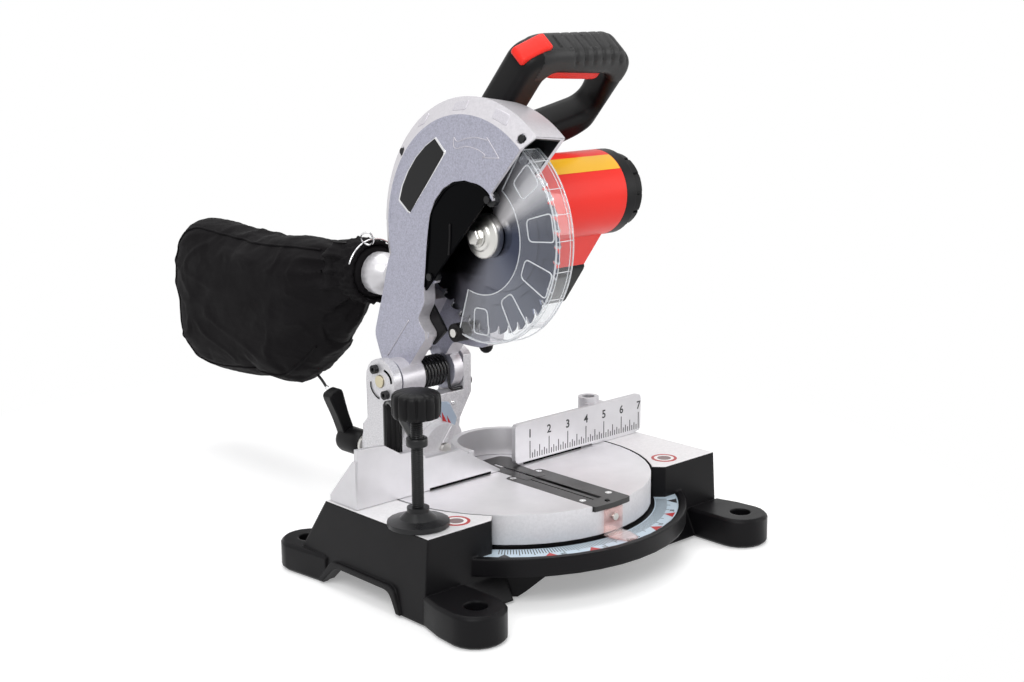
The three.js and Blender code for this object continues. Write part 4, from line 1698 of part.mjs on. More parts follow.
const coverScrews = COVER_SCREW_PLACES.map(([y, z], i) => sideScrew(`cover_screw_${i + 1}`, COVER_SCREW_RADIUS,
  COVER_SCREW_HEAD, COVER_SCREW_SHANK, COVER_BOSS - GAP, [COVER_FACE - GAP, y, z]));
const guardScrews = GUARD_SCREW_ANGLES.map((angle, i) => {
  const [[y, z]] = arc(GUARD_SCREW_REACH, angle, angle, 1);
  return sideScrew(`guard_screw_${i + 1}`, GUARD_SCREW_RADIUS, GUARD_SCREW_HEAD, GUARD_SCREW_SHANK,
    GUARD_SCREW_LENGTH - GAP, [-GUARD_SCREW_SEAT - GAP, y, z]);
});

const bumperMesh = piece("bumper", bumper(), RUBBER);
bumperMesh.position.set(BUMPER_X, BUMPER_Y, -BUMPER_DROP);

const cutter = group([0, -BLADE_AHEAD, BLADE_ABOVE],
  piece("head_casting", headCasting(), SILVER_PAINT),
  piece("cover_plate", coverPlate(), BLACK_PLASTIC),
  ...coverScrews,
  ...guardScrews,
  piece("dust_guide", dustGuide(), RUBBER),
  piece("blade", sawBlade(), BLADE_STEEL),
  piece("outer_flange", flange(SPINDLE_LEFT + FLANGE_THICK, SPINDLE_LEFT, BORE_RADIUS), STEEL),
  piece("inner_flange", flange(INNER_FLANGE_LEFT, INNER_FLANGE_LEFT + FLANGE_THICK, BORE_RADIUS), STEEL),
  piece("arbor_bolt", arborBolt(), STEEL),
  piece("spindle", spindle(), STEEL),
  piece("spindle_gear", spindleGear(), STEEL),
  piece("lower_guard", lowerGuard(), CLEAR_PLASTIC),
  piece("motor_housing", motorHousing(), RED_PLASTIC),
  bumperMesh,
  roller,
  motor,
  battery,
  handle,
  dust,
);

const head = group([0, PIVOT_BACK, PIVOT_RISE], cutter);

const spring = piece("torsion_spring", wire(springWire, SPRING_WIRE / 2, SPRING_SIDES), BLACK_STEEL);
const pinMesh = piece("head_lock_pin", lockPin(), BLACK_PLASTIC);
pinMesh.position.set(0, -LOCK_PIN_BACK, -LOCK_PIN_DROP);
const pivot = group([0, PIVOT_BACK, PIVOT_RISE],
  piece("pivot_shaft", pivotShaft(), BRASS),
  earScrew("ear_screw_upper", earPoint(EAR_SCREW_UPPER_SHARES)),
  earScrew("ear_screw_lower", earPoint(EAR_SCREW_LOWER_SHARES)),
  spring,
  pinMesh,
);

const bracket = group([0, 0, TABLE_HEIGHT],
  piece("tilt_bracket", tiltBracket(), SILVER_PAINT),
  piece("tilt_bolt", tiltBolt(), STEEL),
  pivot,
  head,
);

const lever = group([-SLOT_RADIUS, 0, TABLE_HEIGHT + BEVEL_RISE],
  piece("bevel_bolt", bevelBolt(), STEEL),
  piece("bevel_lever", bevelLever(), BLACK_PLASTIC),
);

const turntable = group([0, 0, 0],
  piece("turntable_disc", turntableDisc(), MACHINED),
  piece("kerf_insert", kerfInsert(), BLACK_CAST),
  ...INSERT_SCREWS.map(insertScrew),
  piece("mitre_pointer", mitrePointer(), CLEAR_RED),
  pointerScrew(),
  piece("bevel_pointer", bevelPointer(), BLACK_STEEL),
  bracket,
  lever,
);

const swing = group([-POST_X, POST_Y, 0],
  piece("clamp_post", clampPost().rotate([0, 0, THREE.MathUtils.radToDeg(CLAMP_TURN)]), BLACK_STEEL),
  piece("clamp_arm", clampArm().rotate([0, 0, THREE.MathUtils.radToDeg(CLAMP_TURN)]), BLACK_STEEL),
  group([CLAMP_REACH * Math.cos(CLAMP_TURN), CLAMP_REACH * Math.sin(CLAMP_TURN), 0],
    piece("clamp_screw", clampScrew(), BLACK_STEEL),
    piece("clamp_foot", clampFoot(), BLACK_STEEL),
  ),
);

const base = group([0, 0, 0],
  piece("base_casting", baseCasting(), BLACK_CAST),
  ...LUG_PLACES.map(foot),
  piece("fence", fenceCasting(), MACHINED),
  ...SIDES.map(fenceBolt),
  turntableBolt(),
);

// The origin lies under the middle of the saw's length, on the floor.
const FRONT_END = LUG_FRONT_Y + LUG_RADIUS;
const BACK_END = PIVOT_BACK - BLADE_AHEAD + BAG_NECK_END - OVERRUN + BAG_LENGTH;
const saw = group([0, (FRONT_END - BACK_END) / 2, 0], base, swing, turntable);

export default saw;
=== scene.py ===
"""The looks of a cordless mitre saw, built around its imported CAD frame."""
import json
import math
import random

import bmesh
import bpy
import numpy as np
from mathutils import Matrix, Vector, geometry, noise

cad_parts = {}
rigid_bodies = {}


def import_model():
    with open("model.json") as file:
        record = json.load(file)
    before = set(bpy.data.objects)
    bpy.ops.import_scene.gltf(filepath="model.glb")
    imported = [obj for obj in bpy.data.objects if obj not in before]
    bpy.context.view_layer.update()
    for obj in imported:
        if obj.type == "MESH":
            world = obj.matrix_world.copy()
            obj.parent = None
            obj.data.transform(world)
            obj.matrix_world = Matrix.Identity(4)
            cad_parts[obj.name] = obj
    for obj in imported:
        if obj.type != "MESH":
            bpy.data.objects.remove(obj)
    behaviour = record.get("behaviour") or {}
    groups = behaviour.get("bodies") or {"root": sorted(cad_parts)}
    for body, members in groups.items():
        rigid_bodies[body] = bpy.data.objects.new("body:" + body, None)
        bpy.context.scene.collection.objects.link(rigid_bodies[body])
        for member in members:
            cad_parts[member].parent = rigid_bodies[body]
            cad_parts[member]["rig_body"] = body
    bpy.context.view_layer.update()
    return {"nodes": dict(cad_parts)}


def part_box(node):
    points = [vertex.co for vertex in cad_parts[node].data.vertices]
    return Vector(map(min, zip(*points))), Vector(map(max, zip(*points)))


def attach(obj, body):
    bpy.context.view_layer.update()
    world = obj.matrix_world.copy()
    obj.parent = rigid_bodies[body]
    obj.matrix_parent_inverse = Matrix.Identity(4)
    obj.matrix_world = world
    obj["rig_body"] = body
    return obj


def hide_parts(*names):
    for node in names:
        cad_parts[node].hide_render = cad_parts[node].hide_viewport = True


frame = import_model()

MM = 0.001
# The saw's own y, counted from the mitre axis, starts this far from the frame's origin.
MITRE_Y = -194.75
# The photograph's width and height, and its focal length in the same pixels.
PICTURE = (1024, 682)
FOCAL = 1524.93
# In millimetres from the mitre axis: the blade's centre and the middle of the bag's neck.
BLADE_AT = (0, 26.5, 295.5)
NECK_AT = (-4, 0, 241)
ALONG_X, ALONG_Y, ALONG_Z = (1, 0, 0), (0, 1, 0), (0, 0, 1)


def at(x, y, z):
    """A place in millimetres from the mitre axis and the floor, in the frame's metres."""
    return Vector((x, y + MITRE_Y, z)) * MM


# ---- Node helpers ----

def node(tree, kind, links=(), **values):
    """Adds a node, sets its properties and sockets by name, and links outputs to its sockets."""
    made = tree.nodes.new(kind)
    for key, value in values.items():
        if hasattr(made, key):
            setattr(made, key, value)
        else:
            made.inputs[key.replace("_", " ")].default_value = value
    for socket, source in links:
        tree.links.new(source, made.inputs[socket])
    return made


def filled(tree, made, values):
    for socket, value in zip(made.inputs, values):
        if isinstance(value, bpy.types.NodeSocket):
            tree.links.new(value, socket)
        else:
            socket.default_value = value
    return made


def maths(tree, operation, *values):
    """A Math node's result; each value is a number or another node's output."""
    return filled(tree, node(tree, "ShaderNodeMath", operation=operation), values).outputs[0]


def vectors(tree, operation, *values):
    """A Vector Math node's result; each value is a vector or another node's output."""
    made = filled(tree, node(tree, "ShaderNodeVectorMath", operation=operation), values)
    return made.outputs["Value" if operation == "LENGTH" else "Vector"]


def split(tree, vector, axis):
    return node(tree, "ShaderNodeSeparateXYZ", [(0, vector)]).outputs[axis]


def local(tree, kind="Object"):
    return node(tree, "ShaderNodeTexCoord").outputs[kind]


def ramp(tree, fac, *stops):
    made = node(tree, "ShaderNodeValToRGB", [("Fac", fac)])
    while len(made.color_ramp.elements) < len(stops):
        made.color_ramp.elements.new(0.5)
    for element, (place, color) in zip(made.color_ramp.elements, stops):
        element.position = place
        element.color = (*color, 1) if isinstance(color, tuple) else (color, color, color, 1)
    return made.outputs["Color"]


def mixed(tree, share, first, second):
    links = [("Fac", share), (1, first.outputs[0]), (2, second.outputs[0])]
    return node(tree, "ShaderNodeMixShader", links)


def seen_rays(tree):
    """1 for what the camera sees, straight, through something or mirrored."""
    rays = node(tree, "ShaderNodeLightPath").outputs
    seen = maths(tree, "MAXIMUM", rays["Is Camera Ray"], rays["Is Transmission Ray"])
    return maths(tree, "MAXIMUM", seen, rays["Is Glossy Ray"])


# ---- Camera, light and floor ----

def make_camera():
    data = bpy.data.cameras.new("camera")
    data.sensor_width = 36.0
    data.lens = 36.0 * FOCAL / PICTURE[0]
    data.clip_end = 20
    cam = bpy.data.objects.new("camera", data)
    bpy.context.scene.collection.objects.link(cam)
    back = -Vector((0.665251, 0.715087, -0.214688))
    up = Vector((0.149982, 0.153693, 0.97667))
    right = up.cross(back).normalized()
    up = back.cross(right).normalized()
    turn = Matrix((right, up, back.normalized())).transposed().to_4x4()
    cam.matrix_world = Matrix.Translation((-0.935237, -1.202864, 0.50205)) @ turn
    bpy.context.scene.camera = cam
    bpy.context.view_layer.update()
    return cam


def area_light(name, place, target, size, watts):
    data = bpy.data.lights.new(name, "AREA")
    data.shape = "RECTANGLE"
    data.size, data.size_y = size
    data.energy = watts
    lamp = bpy.data.objects.new(name, data)
    bpy.context.scene.collection.objects.link(lamp)
    lamp.location = place
    aim = (Vector(target) - Vector(place)).to_track_quat("-Z", "Y")
    lamp.rotation_euler = aim.to_euler()


def make_world():
    world = bpy.data.worlds.new("world")
    bpy.context.scene.world = world
    world.use_nodes = True
    tree = world.node_tree
    tree.nodes.clear()
    height = split(tree, local(tree, "Generated"), "Z")
    fade = ramp(tree, height, (0.02, (0.34, 0.36, 0.4)), (0.75, 1.0))
    sky = node(tree, "ShaderNodeBackground", [("Color", fade)], Strength=0.6)
    white = node(tree, "ShaderNodeBackground", Color=(1, 1, 1, 1))
    mix = mixed(tree, seen_rays(tree), sky, white)
    node(tree, "ShaderNodeOutputWorld", [("Surface", mix.outputs[0])])


def make_floor():
    """A pale floor that keeps the saw's shadow and fades to white further out."""
    bpy.ops.mesh.primitive_plane_add(size=14, location=(0, 0, 0))
    floor = bpy.context.object
    floor.name = "floor"
    m = bpy.data.materials.new("floor")
    m.use_nodes = True
    tree = m.node_tree
    tree.nodes.clear()
    body = node(tree, "ShaderNodeBsdfDiffuse", Color=(0.82, 0.82, 0.82, 1))
    glow = node(tree, "ShaderNodeEmission", Strength=0.3)
    white = node(tree, "ShaderNodeEmission")
    lit = node(tree, "ShaderNodeAddShader", [(0, body.outputs[0]), (1, glow.outputs[0])])
    fade = ramp(tree, vectors(tree, "LENGTH", local(tree)), (0.42, 0.0), (0.62, 1.0))
    mix = mixed(tree, seen_rays(tree), body, mixed(tree, fade, lit, white))
    node(tree, "ShaderNodeOutputMaterial", [("Surface", mix.outputs[0])])
    floor.data.materials.append(m)


bpy.context.scene.view_settings.view_transform = "Standard"
CAMERA = make_camera()
make_world()
make_floor()
area_light("key", (-1.9, -1.6, 2.1), (0, -0.1, 0.2), (1.6, 1.2), 46)
area_light("side", (1.6, -2.2, 1.1), (0, -0.15, 0.2), (1.2, 1.6), 20)
area_light("top", (0.1, 0.3, 2.4), (0, 0, 0.1), (1.8, 1.8), 26)


# ---- Materials ----

def new_material(name):
    m = bpy.data.materials.new(name)
    m.use_nodes = True
    tree = m.node_tree
    return m, tree, tree.nodes["Principled BSDF"]


def soft_edges(tree, bsdf, radius, height=None, strength=0.3, distance=0.0002):
    """Rounds the edges in the shading and adds a bump on top."""
    bevel = node(tree, "ShaderNodeBevel", samples=6, Radius=radius)
    normal = bevel.outputs["Normal"]
    if height is not None:
        bump = node(tree, "ShaderNodeBump", [("Height", height), ("Normal", normal)],
                    Strength=strength, Distance=distance)
        normal = bump.outputs["Normal"]
    tree.links.new(normal, bsdf.inputs["Normal"])


def noise_at(tree, where, scale, detail, roughness):
    return node(tree, "ShaderNodeTexNoise", [("Vector", where)], Scale=scale, Detail=detail,
                Roughness=roughness).outputs["Fac"]


def grain(tree, scale, detail=3.0, roughness=0.6, stretch=(1, 1, 1)):
    where = node(tree, "ShaderNodeMapping", [("Vector", local(tree))], Scale=stretch)
    return noise_at(tree, where.outputs["Vector"], scale, detail, roughness)


def tinted(color, share):
    return tuple(min(1.0, c * share) for c in color)


def painted(name, color, rough, metal=0.0, edge=0.0008, size=900.0, mottle=0.12, bump=0.25, depth=0.0001,
            specular=0.5):
    """A cast or moulded surface: fine mottled colour, uneven gloss and a fine grain."""
    m, tree, bsdf = new_material(name)
    fine = grain(tree, size, 2.0)
    broad = grain(tree, 35.0, 4.0)
    tint = ramp(tree, fine, (0.3, tinted(color, 1 - mottle)), (0.7, tinted(color, 1 + mottle)))
    tree.links.new(tint, bsdf.inputs["Base Color"])
    gloss = ramp(tree, broad, (0.3, rough * 0.9), (0.7, rough * 1.12))
    tree.links.new(gloss, bsdf.inputs["Roughness"])
    bsdf.inputs["Metallic"].default_value = metal
    bsdf.inputs["Specular IOR Level"].default_value = specular
    soft_edges(tree, bsdf, edge, fine, bump, depth)
    return m


RING_PITCH = 2500.0


def machined(name, color, rough, centre=None):
    """Bare metal with tool marks: rings about a centre, or straight lines."""
    m, tree, bsdf = new_material(name)
    if centre is None:
        marks = grain(tree, 60.0, 6.0, 0.7, (0.4, 30, 30))
    else:
        off = vectors(tree, "SUBTRACT", local(tree), centre)
        far = vectors(tree, "LENGTH", vectors(tree, "MULTIPLY", off, (1, 1, 0)))
        ring_step = 0.0003
        ring = maths(tree, "SNAP", far, ring_step)
        rings = node(tree, "ShaderNodeCombineXYZ", [("X", ring), ("Y", split(tree, off, "Z"))])
        marks = noise_at(tree, rings.outputs[0], RING_PITCH, 2.0, 0.7)
    broad = grain(tree, 22.0, 4.0)
    tint = ramp(tree, broad, (0.3, tinted(color, 0.93)), (0.7, tinted(color, 1.05)))
    tree.links.new(tint, bsdf.inputs["Base Color"])
    gloss = ramp(tree, marks, (0.3, rough * 0.8), (0.7, rough * 1.25))
    tree.links.new(gloss, bsdf.inputs["Roughness"])
    bsdf.inputs["Metallic"].default_value = 1.0
    soft_edges(tree, bsdf, 0.0004, marks, 0.12, 0.00005)
    return m, tree, bsdf


def clear_plastic(name, haze, tint=(0.97, 0.98, 0.99), shine=0.05):
    """See-through plastic: haze is its milky share, more at grazing angles."""
    m, tree, bsdf = new_material(name)
    tree.nodes.remove(bsdf)
    ripple = node(tree, "ShaderNodeBump", [("Height", grain(tree, 55.0, 2.0))], Strength=0.1, Distance=0.0006)
    bent = [("Normal", ripple.outputs[0])]
    gloss = node(tree, "ShaderNodeBsdfGlossy", bent, Roughness=shine, Color=(1, 1, 1, 1))
    milk = node(tree, "ShaderNodeBsdfDiffuse", Color=(0.86, 0.88, 0.9, 1))
    see = node(tree, "ShaderNodeBsdfTransparent", Color=(*tint, 1))
    rim = node(tree, "ShaderNodeLayerWeight", bent, Blend=0.25).outputs["Facing"]
    streak = ramp(tree, grain(tree, 90.0, 4.0, 0.7, (1, 1, 4)), (0.35, haze * 0.6), (0.75, haze * 1.5))
    body = mixed(tree, maths(tree, "MULTIPLY_ADD", rim, streak, haze * 0.35), see, milk)
    away = node(tree, "ShaderNodeLayerWeight", bent, Blend=0.5).outputs["Facing"]
    shiny = maths(tree, "MULTIPLY_ADD", maths(tree, "POWER", away, 3.0), 0.8, 0.04)
    whole = mixed(tree, shiny, body, gloss)
    tree.links.new(whole.outputs[0], tree.nodes["Material Output"].inputs["Surface"])
    return m


# The helpers below give masks, which are 1 on part of a surface and 0 elsewhere.

def above(tree, value, least):
    return maths(tree, "GREATER_THAN", value, least)


def below(tree, value, most):
    return maths(tree, "LESS_THAN", value, most)


def facing(tree, axis, least, magnitude=False):
    """1 where the surface faces along an axis, by the object's own directions."""
    value = split(tree, local(tree, "Normal"), axis)
    if magnitude:
        value = maths(tree, "ABSOLUTE", value)
    return above(tree, value, least)


def coordinate(tree, axis):
    return split(tree, local(tree), axis)


def both(tree, *masks):
    made = masks[0]
    for mask in masks[1:]:
        made = maths(tree, "MULTIPLY", made, mask)
    return made


def overlaid(material, mask_of, color, rough, metal, grain_size=400.0):
    """Gives part of a finish another colour, gloss and metal share, where the mask is 1."""
    tree = material.node_tree
    bsdf = tree.nodes["Principled BSDF"]
    mask = mask_of(tree)
    speck = grain(tree, grain_size, 3.0)
    tint = ramp(tree, speck, (0.3, tinted(color, 0.93)), (0.7, tinted(color, 1.05)))
    gloss = ramp(tree, speck, (0.3, rough * 0.85), (0.7, rough * 1.2))
    for name, new, kind in (("Base Color", tint, "RGBA"), ("Roughness", gloss, "RGBA"), ("Metallic", None, "FLOAT")):
        socket = bsdf.inputs[name]
        mix = tree.nodes.new("ShaderNodeMix")
        mix.data_type = kind
        pair = [k for k in mix.inputs if k.enabled and k.name in ("A", "B")]
        factor = [k for k in mix.inputs if k.enabled and k.name == "Factor"][0]
        tree.links.new(mask, factor)
        if socket.is_linked:
            tree.links.new(socket.links[0].from_socket, pair[0])
        else:
            pair[0].default_value = socket.default_value
        if new is not None:
            tree.links.new(new, pair[1])
        else:
            pair[1].default_value = metal
        result = [k for k in mix.outputs if k.enabled][0]
        tree.links.new(result, socket)
    return material


BLACK_CAST = painted("black_cast", (0.0045, 0.0042, 0.005), 0.38, edge=0.0028, specular=0.13, size=1400, mottle=0.2,
                     bump=0.3)
BLACK_MOULD = painted("black_mould", (0.0045, 0.0043, 0.0048), 0.42, specular=0.16, edge=0.0009, size=2200,
                      mottle=0.2, bump=0.35)
PLATE_BLACK = painted("plate_black", (0.0012, 0.0013, 0.0018), 0.3, specular=0.03, edge=0.0006, size=2200,
                      mottle=0.2, bump=0.1)
BLACK_RUBBER = painted("black_rubber", (0.0065, 0.0062, 0.0065), 0.55, specular=0.18, edge=0.0008, size=1600,
                       mottle=0.25, bump=0.4)
DARK_STEEL = painted("dark_steel", (0.012, 0.012, 0.013), 0.3, specular=0.25, edge=0.0004, size=1800, bump=0.15)
HEAD_PAINT = painted("head_paint", (0.4, 0.4, 0.48), 0.4, metal=0.45, edge=0.0012, size=750, mottle=0.2, bump=0.3,
                     depth=0.00012)
BRACKET_PAINT = painted("bracket_paint", (0.66, 0.65, 0.67), 0.36, metal=0.4, edge=0.0012, size=750, mottle=0.15,
                        bump=0.25)
RED = painted("red_plastic", (0.84, 0.03, 0.02), 0.36, specular=0.2, edge=0.0008, size=2600, mottle=0.05, bump=0.12,
              depth=0.00005)
STEEL, _, _ = machined("steel", (0.62, 0.62, 0.63), 0.28)
CHROME_CAD, _, _ = machined("bright_screw", (0.8, 0.8, 0.8), 0.2)
ZINC, _, _ = machined("zinc", (0.66, 0.65, 0.62), 0.34)
BRASS, _, _ = machined("brass", (0.62, 0.56, 0.4), 0.36)
ALUMINIUM, _, cast = machined("aluminium", (0.6, 0.59, 0.61), 0.36)
cast.inputs["Metallic"].default_value = 0.55
TABLE, table_tree, table_bsdf = machined("table", (0.74, 0.73, 0.75), 0.34, at(0, 0, 0))
table_bsdf.inputs["Anisotropic"].default_value = 0.55
table_bsdf.inputs["Metallic"].default_value = 0.82
along = vectors(table_tree, "CROSS_PRODUCT", vectors(table_tree, "SUBTRACT", local(table_tree), at(0, 0, 0)), ALONG_Z)
table_tree.links.new(along, table_bsdf.inputs["Tangent"])
CLEAR = clear_plastic("clear", 0.045)
# Milky white for the clear guard's edge lines and moulded frames: painted highlight where the clear edges catch the
# light.
CLEAR_EDGE_HIGHLIGHT = clear_plastic("clear_edge", 1.1, shine=0.12)
# Milkier plastic on the guard's rounded corner, lower rim and stop: painted highlight for their whiter look where the
# light catches them.
CLEAR_RIM_HIGHLIGHT = clear_plastic("clear_rim", 0.24)
POINTER = clear_plastic("pointer", 0.14, (0.97, 0.84, 0.82))
INSERT = painted("insert", (0.012, 0.011, 0.011), 0.36, edge=0.0005, size=2000, mottle=0.15, bump=0.2)


def head_radius(tree):
    """How far a point lies from the blade's axis, in metres."""
    off = vectors(tree, "SUBTRACT", local(tree), at(*BLADE_AT))
    return vectors(tree, "LENGTH", vectors(tree, "MULTIPLY", off, (0, 1, 1)))


def not_side(tree):
    return below(tree, facing(tree, "X", 0.93, True), 0.5)


def within_bevel(tree):
    """1 inside the guard's sloping front ring, 2 mm below its outer surface."""
    masks = []
    for slope, most in ((-1.55, 0.1565), (0.1447, 0.1226)):
        reach = maths(tree, "MULTIPLY_ADD", coordinate(tree, "X"), slope, head_radius(tree))
        masks.append(below(tree, reach, most))
    return both(tree, *masks)


def guard_inside(tree):
    """1 on the upper guard's inner walls, which are painted near black as shade."""
    return both(tree, above(tree, coordinate(tree, "X"), -0.0266), below(tree, coordinate(tree, "X"), 0.0134),
                within_bevel(tree), above(tree, coordinate(tree, "Z"), 0.25))


def above_height(height):
    return lambda tree: above(tree, coordinate(tree, "Z"), height)


# Painted light: the head's bevel, rim and other faces that do not point along X are painted lighter and greyer than
# its flat blue-grey sides.
overlaid(HEAD_PAINT, not_side, (0.63, 0.61, 0.64), 0.36, 0.4)
# Painted shade: the upper guard's inner walls are painted near black.
overlaid(HEAD_PAINT, guard_inside, (0.004, 0.004, 0.005), 0.5, 0.0)
overlaid(TABLE, above_height(0.0775), (0.72, 0.72, 0.735), 0.45, 0.5)
overlaid(TABLE, lambda tree: below(tree, facing(tree, "Z", 0.9), 0.5), (0.72, 0.71, 0.73), 0.5, 0.55)
overlaid(BLACK_CAST, lambda tree: both(tree, above_height(0.0757)(tree), facing(tree, "Z", 0.9)), (0.8, 0.79, 0.8),
         0.38,
         0.35)


# The finish of each CAD node by the start of its name; the first that fits is taken, or else zinc.
NODE_LOOKS = {
    ZINC: ("fence_bolt",),
    BLACK_CAST: ("base_casting",),
    TABLE: ("turntable_disc",),
    ALUMINIUM: ("fence", "dust_elbow"),
    INSERT: ("kerf_insert",),
    BRACKET_PAINT: ("tilt_bracket", "bevel_pointer"),
    HEAD_PAINT: ("head_casting",),
    RED: ("motor_housing", "trigger", "lock_button"),
    CLEAR: ("lower_guard",),
    POINTER: ("mitre_pointer",),
    STEEL: ("blade",),
    BRASS: ("pivot_shaft",),
    CHROME_CAD: ("insert_screw",),
    PLATE_BLACK: ("cover_plate",),
    BLACK_RUBBER: ("foot_", "guard_roller", "bumper"),
    DARK_STEEL: ("ear_screw", "cover_screw", "guard_screw", "clamp_", "torsion_spring"),
    BLACK_MOULD: ("handle_", "motor_cap", "battery_pack", "bevel_lever", "dust_guide", "head_lock_pin", "dust_bag"),
}


def shade_round(piece, degrees=28):
    """Shades a CAD piece's facets as one surface where they meet at a small angle."""
    mesh = piece.data
    meeting = {}
    for face in mesh.polygons:
        for index in face.vertices:
            spot = mesh.vertices[index].co
            meeting.setdefault((round(spot.x, 6), round(spot.y, 6), round(spot.z, 6)), []).append(face.index)
    least = math.cos(math.radians(degrees))
    normals = []
    for face in mesh.polygons:
        for index in face.vertices:
            spot = mesh.vertices[index].co
            total = Vector()
            for other in meeting[(round(spot.x, 6), round(spot.y, 6), round(spot.z, 6))]:
                near = mesh.polygons[other]
                if near.normal.dot(face.normal) > least:
                    total += near.normal * near.area
            normals.append(total.normalized() if total.length > 0 else face.normal.copy())
    mesh.polygons.foreach_set("use_smooth", [True] * len(mesh.polygons))
    mesh.normals_split_custom_set(normals)


for name, piece in frame["nodes"].items():
    look = next((look for look, starts in NODE_LOOKS.items() if name.startswith(starts)), ZINC)
    shade_round(piece)
    for index in range(len(piece.material_slots)):
        piece.material_slots[index].material = look


# ---- Mesh helpers ----

def basis(origin, across, up):
    """Turns local millimetres (u, v, w) into the frame's metres; w points along across x up."""
    u = Vector(across).normalized()
    w = u.cross(Vector(up)).normalized()
    v = w.cross(u)
    turn = Matrix((u, v, w)).transposed().to_4x4()
    return Matrix.Translation(at(*origin)) @ turn @ Matrix.Scale(MM, 4)


def make_piece(name, shape, look, body, matrix=None, smooth=True, hides=()):
    """A piece from (verts, faces), which rides on a body and may replace CAD nodes."""
    verts, faces = shape
    mesh = bpy.data.meshes.new(name)
    mesh.from_pydata([tuple(v) for v in verts], [], faces)
    if matrix is not None:
        mesh.transform(matrix)
    mesh.validate()
    mesh.update()
    mesh.polygons.foreach_set("use_smooth", [smooth] * len(mesh.polygons))
    obj = bpy.data.objects.new(name, mesh)
    bpy.context.scene.collection.objects.link(obj)
    mesh.materials.append(look)
    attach(obj, body)
    if hides:
        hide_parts(*hides)
    return obj


# The faces of a box whose first four corners are its low side's, in turn.
BOX_FACES = [(3, 2, 1, 0), (4, 5, 6, 7)] + [(k, (k + 1) % 4, 4 + (k + 1) % 4, 4 + k) for k in range(4)]


def rounded(points, radius, steps=5):
    """A closed outline with its corners rounded."""
    made = []
    count = len(points)
    for i in range(count):
        before, corner, after = (Vector(points[(i + k) % count]).to_2d() for k in (-1, 0, 1))
        to_before, to_after = before - corner, after - corner
        reach = min(radius, to_before.length * 0.46, to_after.length * 0.46)
        start = corner + to_before.normalized() * reach
        end = corner + to_after.normalized() * reach
        for k in range(steps + 1):
            t = k / steps
            made.append(start * (1 - t) ** 2 + corner * (2 * t * (1 - t)) + end * t ** 2)
    return made


def resampled(loop, step):
    loop = [Vector(p).to_2d() for p in loop]
    made = []
    for i, point in enumerate(loop):
        following = loop[(i + 1) % len(loop)]
        parts = max(1, round((following - point).length / step))
        for k in range(parts):
            made.append(point.lerp(following, k / parts))
    return [p for i, p in enumerate(made) if (p - made[i - 1]).length > step * 0.2]


def distances(points, loops):
    """How far each point lies from the nearest outline, and whether it is inside."""
    p = np.array([tuple(q) for q in points])
    a = np.concatenate([np.array([tuple(q) for q in loop]) for loop in loops])
    b = np.concatenate([np.roll(np.array([tuple(q) for q in loop]), -1, 0) for loop in loops])
    ab = b - a
    t = ((p[:, None] - a[None]) * ab[None]).sum(2) / (ab ** 2).sum(1)[None]
    near = a[None] + np.clip(t, 0, 1)[..., None] * ab[None]
    far = np.sqrt(((p[:, None] - near) ** 2).sum(2)).min(1)
    rises = (a[None, :, 1] > p[:, None, 1]) != (b[None, :, 1] > p[:, None, 1])
    level = np.where(ab[:, 1] == 0, 1e-9, ab[:, 1])
    cross = a[None, :, 0] + (p[:, None, 1] - a[None, :, 1]) * (ab[:, 0] / level)[None]
    inside = (rises & (p[:, None, 0] < cross)).sum(1) % 2 == 1
    return far, inside


def puffed(outer, holes=(), radius=3.0, half=5.0, step=3.0, shape=None):
    """A plate with rounded rims: (u, v) outlines, half as thick as stated on each side of w = 0."""
    loops = [resampled(loop, step) for loop in (outer, *holes)]
    flat, edges = [], []
    for loop in loops:
        first = len(flat)
        flat += loop
        edges += [(first + i, first + (i + 1) % len(loop)) for i in range(len(loop))]
    extra = []
    rings = 5
    for k in range(1, rings + 1):
        depth = radius * (1 - math.cos(math.pi / 2 * k / rings))
        for loop in loops:
            for i, point in enumerate(loop):
                along = (loop[(i + 1) % len(loop)] - loop[i - 1]).normalized()
                for side in (1, -1):
                    inner = point + Vector((-along.y, along.x)) * depth * side
                    extra.append((inner, depth * 0.95))
    low = [min(p[k] for p in loops[0]) for k in (0, 1)]
    high = [max(p[k] for p in loops[0]) for k in (0, 1)]
    rows = int((high[1] - low[1]) / (step * 0.87)) + 1
    for j in range(rows):
        shift = step / 2 if j % 2 else 0
        for i in range(int((high[0] - low[0]) / step) + 2):
            extra.append((Vector((low[0] + i * step + shift, low[1] + j * step * 0.87)), radius + step * 0.35))
    far, inside = distances([p for p, _ in extra], loops)
    flat += [p for (p, least), d, ok in zip(extra, far, inside) if ok and d >= least]
    verts2, _, faces2, *_ = geometry.delaunay_2d_cdt(flat, edges, [], 0, 1e-5)
    middles = [(verts2[f[0]] + verts2[f[1]] + verts2[f[2]]) / 3 for f in faces2]
    _, keep = distances(middles, loops)
    faces2 = [f for f, ok in zip(faces2, keep) if ok]
    far, _ = distances(verts2, loops)
    count = len(verts2)
    heights = []
    for (u, v), d in zip(verts2, far):
        d = 0.0 if d < 1e-3 else min(d, radius)
        h = half - radius + math.sqrt(max(radius ** 2 - (radius - d) ** 2, 0))
        heights.append(shape(u, v, h, d) if shape else (h, -h))
    verts = [(v[0], v[1], h[0]) for v, h in zip(verts2, heights)]
    verts += [(v[0], v[1], h[1]) for v, h in zip(verts2, heights)]
    faces = []
    border = {}
    for a, b, c in faces2:
        pa, pb, pc = (verts2[i] for i in (a, b, c))
        if (pb - pa).cross(pc - pa) < 0:
            b, c = c, b
        faces += [(a, b, c), (a + count, c + count, b + count)]
        for s, e in ((a, b), (b, c), (c, a)):
            border[(s, e)] = True
    for s, e in list(border):
        if (e, s) not in border:
            faces.append((s, s + count, e + count, e))
    return verts, faces


